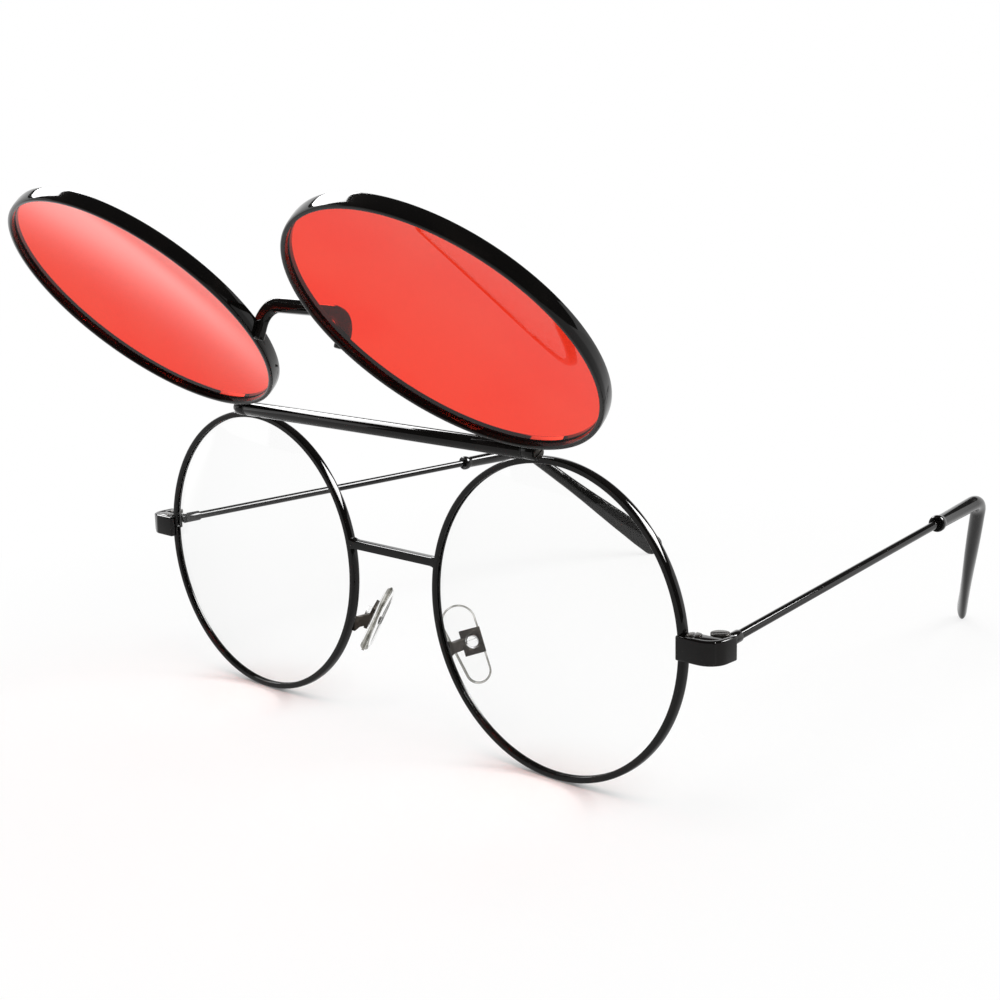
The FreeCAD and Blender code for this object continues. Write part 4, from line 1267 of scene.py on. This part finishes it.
@dataclass
class Temples(Assembly):
    """The two temples: a hinge ferrule, a bent wire and a sleeve tip that widens to a paddle.

    Each step of the mouth is a distance ahead and how far its radius is under the lip's. Each step of the
    blade is a share of the tip's length and how far the round section has become the blade's there.
    """

    start: Triple = (62.7, 3.0, 1.0)
    length: float = 90.2
    toe_in: float = 4.8
    right_rise: float = 2.6
    left_rise: float = 0.2
    turn_in: float = 32.3
    tip_length: float = 38.4
    end_length: float = 2.6
    bend_radius: float = 7.0
    bend_steps: int = 26
    sleeve_length: float = 18.8
    lip_radius: float = 1.45
    mouth_bore: float = 0.74
    mouth_inset: float = 0.25
    mouth_steps: tuple[Pair, ...] = (
        (-0.1, 0.45), (-0.1, 0.28), (0.0, 0.16), (0.12, 0.04), (0.3, 0.0), (0.45, 0.0), (0.35, 0.1),
        (0.3, 0.22), (0.4, 0.29))
    bend_sleeve: float = 1.3
    paddle_width: float = 4.6
    paddle_thickness: float = 2.7
    blade: float = 1.9
    blade_steps: tuple[Pair, ...] = (
        (0.12, 0.03), (0.25, 0.12), (0.4, 0.32), (0.55, 0.6), (0.7, 0.85), (0.85, 1.0), (1.0, 1.0))
    end_degrees: tuple[float, ...] = (15, 30, 45, 58, 70, 80, 87)
    floor: float = -25.0
    settling_rounds: int = 40
    hinge_edge: float = 0.12

    def axes(self, side: Side) -> tuple[Vector, Vector]:
        """The directions of a right-hand temple's wire and tip, with its tip resting on the floor.

        Args:
            side: Whose rise it has.

        Returns:
            The wire's direction and the tip's.
        """
        toe = math.radians(self.toe_in)
        rise = math.radians(self.right_rise if side is Side.RIGHT else self.left_rise)
        inward = math.radians(self.turn_in)
        along = Vector((-math.sin(toe) * math.cos(rise), math.cos(toe) * math.cos(rise), math.sin(rise)))
        level = Vector((-math.sin(inward), math.cos(inward), 0))
        corner = Vector(self.start) + along * self.length
        foot = self.paddle_thickness / 2
        for _ in range(self.settling_rounds):
            fall = math.asin((corner.z - self.floor - foot) / self.tip_length)
            down = level * math.cos(fall) - UP * math.sin(fall)
            flat = square_to(along, down)
            shares = ((self.end_length, down), (self.paddle_width / 2, flat),
                      (self.paddle_thickness / 2, down.cross(flat)))
            foot = math.sqrt(sum((share * axis.z) ** 2 for share, axis in shares))
        return along, down

    def twist(self, along: Vector, down: Vector) -> float:
        """How far the paddle turns about the tip's line, so that its flat stands upright.

        Args:
            along: The wire's direction.
            down: The tip's direction.

        Returns:
            The angle in radians.
        """
        first = square_to(along, down)
        upright = square_to(UP, down)
        return math.copysign(first.angle(upright), first.cross(upright).dot(down))

    def tip(self, side: Side) -> None:
        """Draw one sleeve tip along its temple's line: mouth, bend, blade and rounded end.

        Args:
            side: Which side.
        """
        along, down = self.axes(side)
        line = section_at(self.start, along, down)
        turn = along.angle(down)
        cut = self.bend_radius * math.tan(turn / 2)
        straight = self.length - cut
        mouth = self.length - self.sleeve_length + self.mouth_inset
        work = Workpiece()
        sleeve = Sweep(work, Matrix.Translation((mouth, 0, 0)), (self.mouth_bore, self.mouth_bore))
        for distance, under in self.mouth_steps:
            sleeve.ahead(distance, (self.lip_radius - under,) * 2)
            mouth += distance
        sleeve.ahead(straight - mouth, (self.bend_sleeve, self.bend_sleeve))
        sleeve.bend((straight, self.bend_radius, 0), turn, self.bend_steps)
        run = self.tip_length - cut
        twist = self.twist(along, down)
        wide = (self.paddle_width / 2, self.blade / 2)
        gone = 0.0
        for share, widened in self.blade_steps:
            half = tuple(self.bend_sleeve + (size - self.bend_sleeve) * widened for size in wide)
            step = share - gone
            turned = Matrix.Rotation(step * twist, 4, "X")
            sleeve.to(sleeve.frame @ Matrix.Translation((step * run, 0, 0)) @ turned, half)
            gone = share
        gone = 0.0
        for degrees in self.end_degrees:
            angle = math.radians(degrees)
            half = tuple(size * math.cos(angle) for size in wide)
            sleeve.ahead(self.end_length * (math.sin(angle) - gone), half)
            gone = math.sin(angle)
        sleeve.close()
        self.put(work, f"{side.word}_sleeve_tip", self.layout.half(side) @ line, Slot.TIP,
                 f"{side.word}_temple", f"{side.word}_temple_tip")

    def build(self) -> None:
        """Make both temples."""
        for side in Side:
            body = f"{side.word}_temple"
            self.put_softened(f"{side.word}_temple_hinge", Slot.FRAME, body, self.hinge_edge)
            self.tip(side)
            self.palette.dress(Slot.FRAME, body, f"{side.word}_temple_wire")


@dataclass
class NosePads(Assembly):
    """The clear pads with their studs, on stamped arms.

    Each step of the crown is how far the pad's face is drawn in and how far it rises.
    """

    back: float = 6.4
    down: float = 9.5
    inset: float = 0.13
    frontal_angle: float = 27.8
    lean: float = 6.4
    splay: float = 32.0
    turn: float = -6.2
    shift: float = 0.7
    length: float = 13.5
    top_radius: float = 2.86
    bottom_radius: float = 2.1
    arc_steps: int = 22
    thickness: float = 1.8
    crown: float = 0.25
    crown_steps: tuple[Pair, ...] = ((0.8, 0.0), (0.4, 0.12), (0.4, 0.08))
    edge: float = 0.7
    edge_facets: int = 5
    wall_degrees: float = 60.0
    line_height: float = 0.2
    line_width: float = 0.4
    stud_back: float = -1.74
    stud_radius: float = 0.9
    stud_length: float = 1.4
    stud_head: float = 1.22
    stud_head_height: float = 0.7
    stud_slot: float = 0.4
    sharp: float = 50.0
    arm_edge: float = 0.1

    @property
    def place(self) -> Matrix:
        """The right pad's frame.

        Returns:
            The frame, with X down the pad and Z towards the nose.
        """
        frontal = math.radians(self.frontal_angle)
        lean = math.radians(self.lean)
        splay = math.radians(self.splay)
        upright = Vector((math.sin(frontal), 0, -math.cos(frontal)))
        long_axis = upright * math.cos(lean) - Vector((0, math.sin(lean), 0))
        normal = square_to(Vector((-math.cos(splay), math.sin(splay), 0)), long_axis)
        origin = (self.layout.gap(self.down) + self.inset, self.back, -self.down)
        place = section_at(origin, long_axis, normal.cross(long_axis))
        return place @ Matrix.Rotation(math.radians(self.turn), 4, "Z")

    def teardrop(self, work: Workpiece, grow: float = 0.0) -> BMFace:
        """Draw the pad's outline in the XY plane.

        Args:
            work: The empty workpiece that it is drawn on.
            grow: How far the outline stands outside the pad's own.

        Returns:
            The outline, filled.
        """
        top_radius = self.top_radius + grow
        bottom_radius = self.bottom_radius + grow
        top = self.top_radius - self.length / 2
        bottom = self.length / 2 - self.bottom_radius
        slope = math.asin((top_radius - bottom_radius) / (bottom - top))
        ends = []
        for centre, radius, start, angle in ((bottom, bottom_radius, -1, math.pi - 2 * slope),
                                             (top, top_radius, 1, math.pi + 2 * slope)):
            first = (centre + radius * math.sin(slope), self.shift + start * radius * math.cos(slope), 0)
            ends.append(work.arc(first, (centre, self.shift, 0), angle, self.arc_steps))
        work.mesh.edges.new((ends[0][1], ends[1][0]))
        work.mesh.edges.new((ends[1][1], ends[0][0]))
        return bmesh.ops.edgeloop_fill(work.mesh, edges=work.mesh.edges)["faces"][0]

    def parting_line(self) -> Workpiece:
        """Make the thin raised line that the mould leaves round the pad's edge.

        Returns:
            The line, whose underside lies at z = 0.
        """
        work = Workpiece()
        plate = self.teardrop(work)
        bmesh.ops.inset_region(work.mesh, faces=[plate], thickness=2 * self.line_height,
                               use_even_offset=True, use_boundary=True)
        bmesh.ops.delete(work.mesh, geom=[plate], context="FACES")
        work.raise_faces(work.mesh.faces[:], self.line_width, keep=True)
        return work

    def pad(self, side: Side) -> None:
        """Make one pad: a crowned teardrop with a parting line and a split stud behind it.

        Args:
            side: Which side.
        """
        work = Workpiece()
        mesh = work.mesh
        back = self.teardrop(work, -self.line_height)
        bmesh.ops.translate(mesh, vec=(0, 0, -self.thickness / 2), verts=mesh.verts)
        front = work.raise_faces([back], self.thickness - self.crown, keep=True)
        for inset, rise in self.crown_steps:
            bmesh.ops.inset_region(mesh, faces=front, thickness=inset, depth=rise, use_even_offset=True)
        work.soften(work.sharp_edges(self.wall_degrees), self.edge, self.edge_facets)
        stud = Workpiece().screw(self.stud_head, self.stud_head_height, self.stud_radius, self.stud_length,
                                 self.stud_slot)
        work.add(stud, Matrix.Translation((0, 0, self.stud_back)) @ Matrix.Rotation(math.pi, 4, "X"))
        plain = len(mesh.verts)
        work.add(self.parting_line(), Matrix.Translation((0, 0, -(self.crown + self.line_width) / 2)))
        # The parting line's vertices get a share of 1, which places the painted edge shade on them
        share = mesh.verts.layers.float.new(SoftPad.EDGE_SHADE_SHARE)
        for number, vert in enumerate(mesh.verts):
            vert[share] = float(number >= plain)
        self.put(work, f"{side.word}_soft_pad", self.layout.half(side) @ self.place, Slot.PAD,
                 f"{side.word}_pad", f"{side.word}_nose_pad", self.sharp)

    def build(self) -> None:
        """Make both pads and arms."""
        for side in Side:
            self.put_softened(f"{side.word}_pad_arm", Slot.PAD_ARM, "front", self.arm_edge)
            self.pad(side)


@dataclass(frozen=True)
class SoftBox:
    """A rectangular lamp in a direction from the glasses, with sizes in metres and its power in watts."""

    name: str
    towards: Triple
    distance: float
    size: Pair
    power: float
    aim_height: float = 0.04

    def hang(self) -> bpy.types.Object:
        """Hang the lamp, turned to the glasses.

        Returns:
            The lamp.
        """
        data = bpy.data.lights.new(self.name, "AREA")
        data.shape = "RECTANGLE"
        data.size, data.size_y = self.size
        data.energy = self.power
        lamp = show(self.name, data)
        aim = UP * self.aim_height
        lamp.location = aim + Vector(self.towards).normalized() * self.distance
        lamp.rotation_euler = (aim - lamp.location).to_track_quat("-Z", "Y").to_euler()
        return lamp


@dataclass
class Studio:
    """The white table and backdrop, the soft boxes, and the camera at the photograph's place."""

    layout: Layout
    palette: Palette
    azimuth: float = 43.264
    elevation: float = 12.459
    roll: float = -1.2
    distance: float = 273.433
    focal_pixels: float = 1675.226
    aim_right: float = 17.452
    aim_up: float = 13.129
    image_pixels: float = 1000.0
    sensor_mm: float = 36.0
    sight: Pair = (0.005, 50.0)
    left_shine: SoftBox = SoftBox("left_shine_box", (-0.78, 0.06, 0.6), 1.0, (0.75, 0.42), 15.0)
    back_shine: SoftBox = SoftBox("back_shine_box", (0.45, 0.59, 0.66), 1.0, (0.6, 0.42), 22.0)
    back_fill: SoftBox = SoftBox("back_right_box", (0.32, 0.72, 0.6), 1.0, (0.5, 0.2), 3.1)
    top_fill: SoftBox = SoftBox("top_box", (0.1, -0.2, 1.0), 0.9, (0.5, 0.5), 3.7)
    room_light: float = 0.45
    dark_side: float = 0.06
    wall_radius: float = 4.0
    wall_height: float = 1.5
    wall_sides: int = 64

    def camera(self) -> None:
        """Put the camera where the photograph was taken from."""
        turn = math.radians(self.azimuth)
        rise = math.radians(self.elevation)
        tilt = math.radians(self.roll)
        back = Vector((math.sin(turn) * math.cos(rise), -math.cos(turn) * math.cos(rise), math.sin(rise)))
        right = Vector((math.cos(turn), math.sin(turn), 0))
        up = back.cross(right)
        place = self.layout.middle + (right * self.aim_right + up * self.aim_up + back * self.distance) * MM
        side = right * math.cos(tilt) + up * math.sin(tilt)
        top = up * math.cos(tilt) - right * math.sin(tilt)
        data = bpy.data.cameras.new("photo_camera")
        data.sensor_fit = "HORIZONTAL"
        data.sensor_width = self.sensor_mm
        data.lens = self.focal_pixels / self.image_pixels * self.sensor_mm
        data.clip_start, data.clip_end = self.sight
        camera = show("photo_camera", data)
        camera.matrix_world = Matrix.Translation(place) @ Matrix((side, top, back)).transposed().to_4x4()
        bpy.context.scene.camera = camera

    def lamps(self) -> None:
        """Hang two boxes that only shine on opaque pieces and two that show in no reflection."""
        for box, lit in ((self.left_shine, self.palette.left_lit), (self.back_shine, self.palette.back_lit)):
            lamp = box.hang()
            lamp.light_linking.receiver_collection = lit
            lamp.visible_diffuse = False
        for box in (self.back_fill, self.top_fill):
            box.hang().visible_glossy = False

    def room(self) -> None:
        """Light the room dimly, darker in reflections, and white where the camera sees it."""
        world = bpy.data.worlds.new("dim_room")
        world.use_nodes = True
        sheet = NodeSheet(world.node_tree)
        unseen = self.room_light - sheet.mirrored() * (self.room_light - self.dark_side)
        seen = sheet.seen()
        light = sheet.node("Background", "Background", {
            "Color": WHITE, "Strength": seen + (1 - seen) * unseen})
        sheet.finish("ShaderNodeOutputWorld", light)
        bpy.context.scene.world = world

    def staging(self, name: str, shape: bmesh.types.BMesh, finish: Finish) -> None:
        """Set up a part of the stage.

        Args:
            name: Its name.
            shape: Its mesh.
            finish: Its finish.
        """
        mesh = bpy.data.meshes.new(name)
        shape.to_mesh(mesh)
        shape.free()
        mesh.shade_smooth()
        mesh.materials.append(finish.build())
        item = show(name, mesh)

    def table(self) -> None:
        """Lay the white table top."""
        feet = tuple((side.value * self.layout.spacing / 2 * MM, self.layout.middle.y, 0) for side in Side)
        shape = bmesh.new()
        bmesh.ops.create_circle(shape, cap_ends=True, segments=self.wall_sides, radius=self.wall_radius)
        self.staging("table_top", shape, TablePaper("white_table", feet))

    def backdrop(self) -> None:
        """Stand a low white wall round the half of the table behind the glasses."""
        shape = bmesh.new()
        bmesh.ops.create_cone(shape, cap_ends=False, segments=self.wall_sides, radius1=self.wall_radius,
                              radius2=self.wall_radius, depth=self.wall_height,
                              matrix=Matrix.Translation((0, 0, self.wall_height / 2)))
        turn = math.radians(self.azimuth)
        bmesh.ops.bisect_plane(shape, geom=[*shape.verts, *shape.edges, *shape.faces], plane_co=(0, 0, 0),
                               plane_no=(math.sin(turn), -math.cos(turn), 0), clear_outer=True)
        self.staging("backdrop", shape, BackdropPaper("white_backdrop"))

    def build(self) -> None:
        """Set up camera, lamps and stage."""
        bpy.context.scene.view_settings.view_transform = "Standard"
        self.camera()
        self.lamps()
        self.room()
        self.table()
        self.backdrop()


def main() -> None:
    """Build and dress the glasses and set the studio."""
    logging.basicConfig(level=logging.INFO, format="%(name)s: %(message)s")
    layout = Layout()
    palette = Palette()
    for assembly in (Eyewires, Lenses, Bridges, FlipHinge, Endpieces, Temples, NosePads):
        assembly(layout, palette).build()
    Studio(layout, palette).build()


if __name__ == "__main__":
    main()
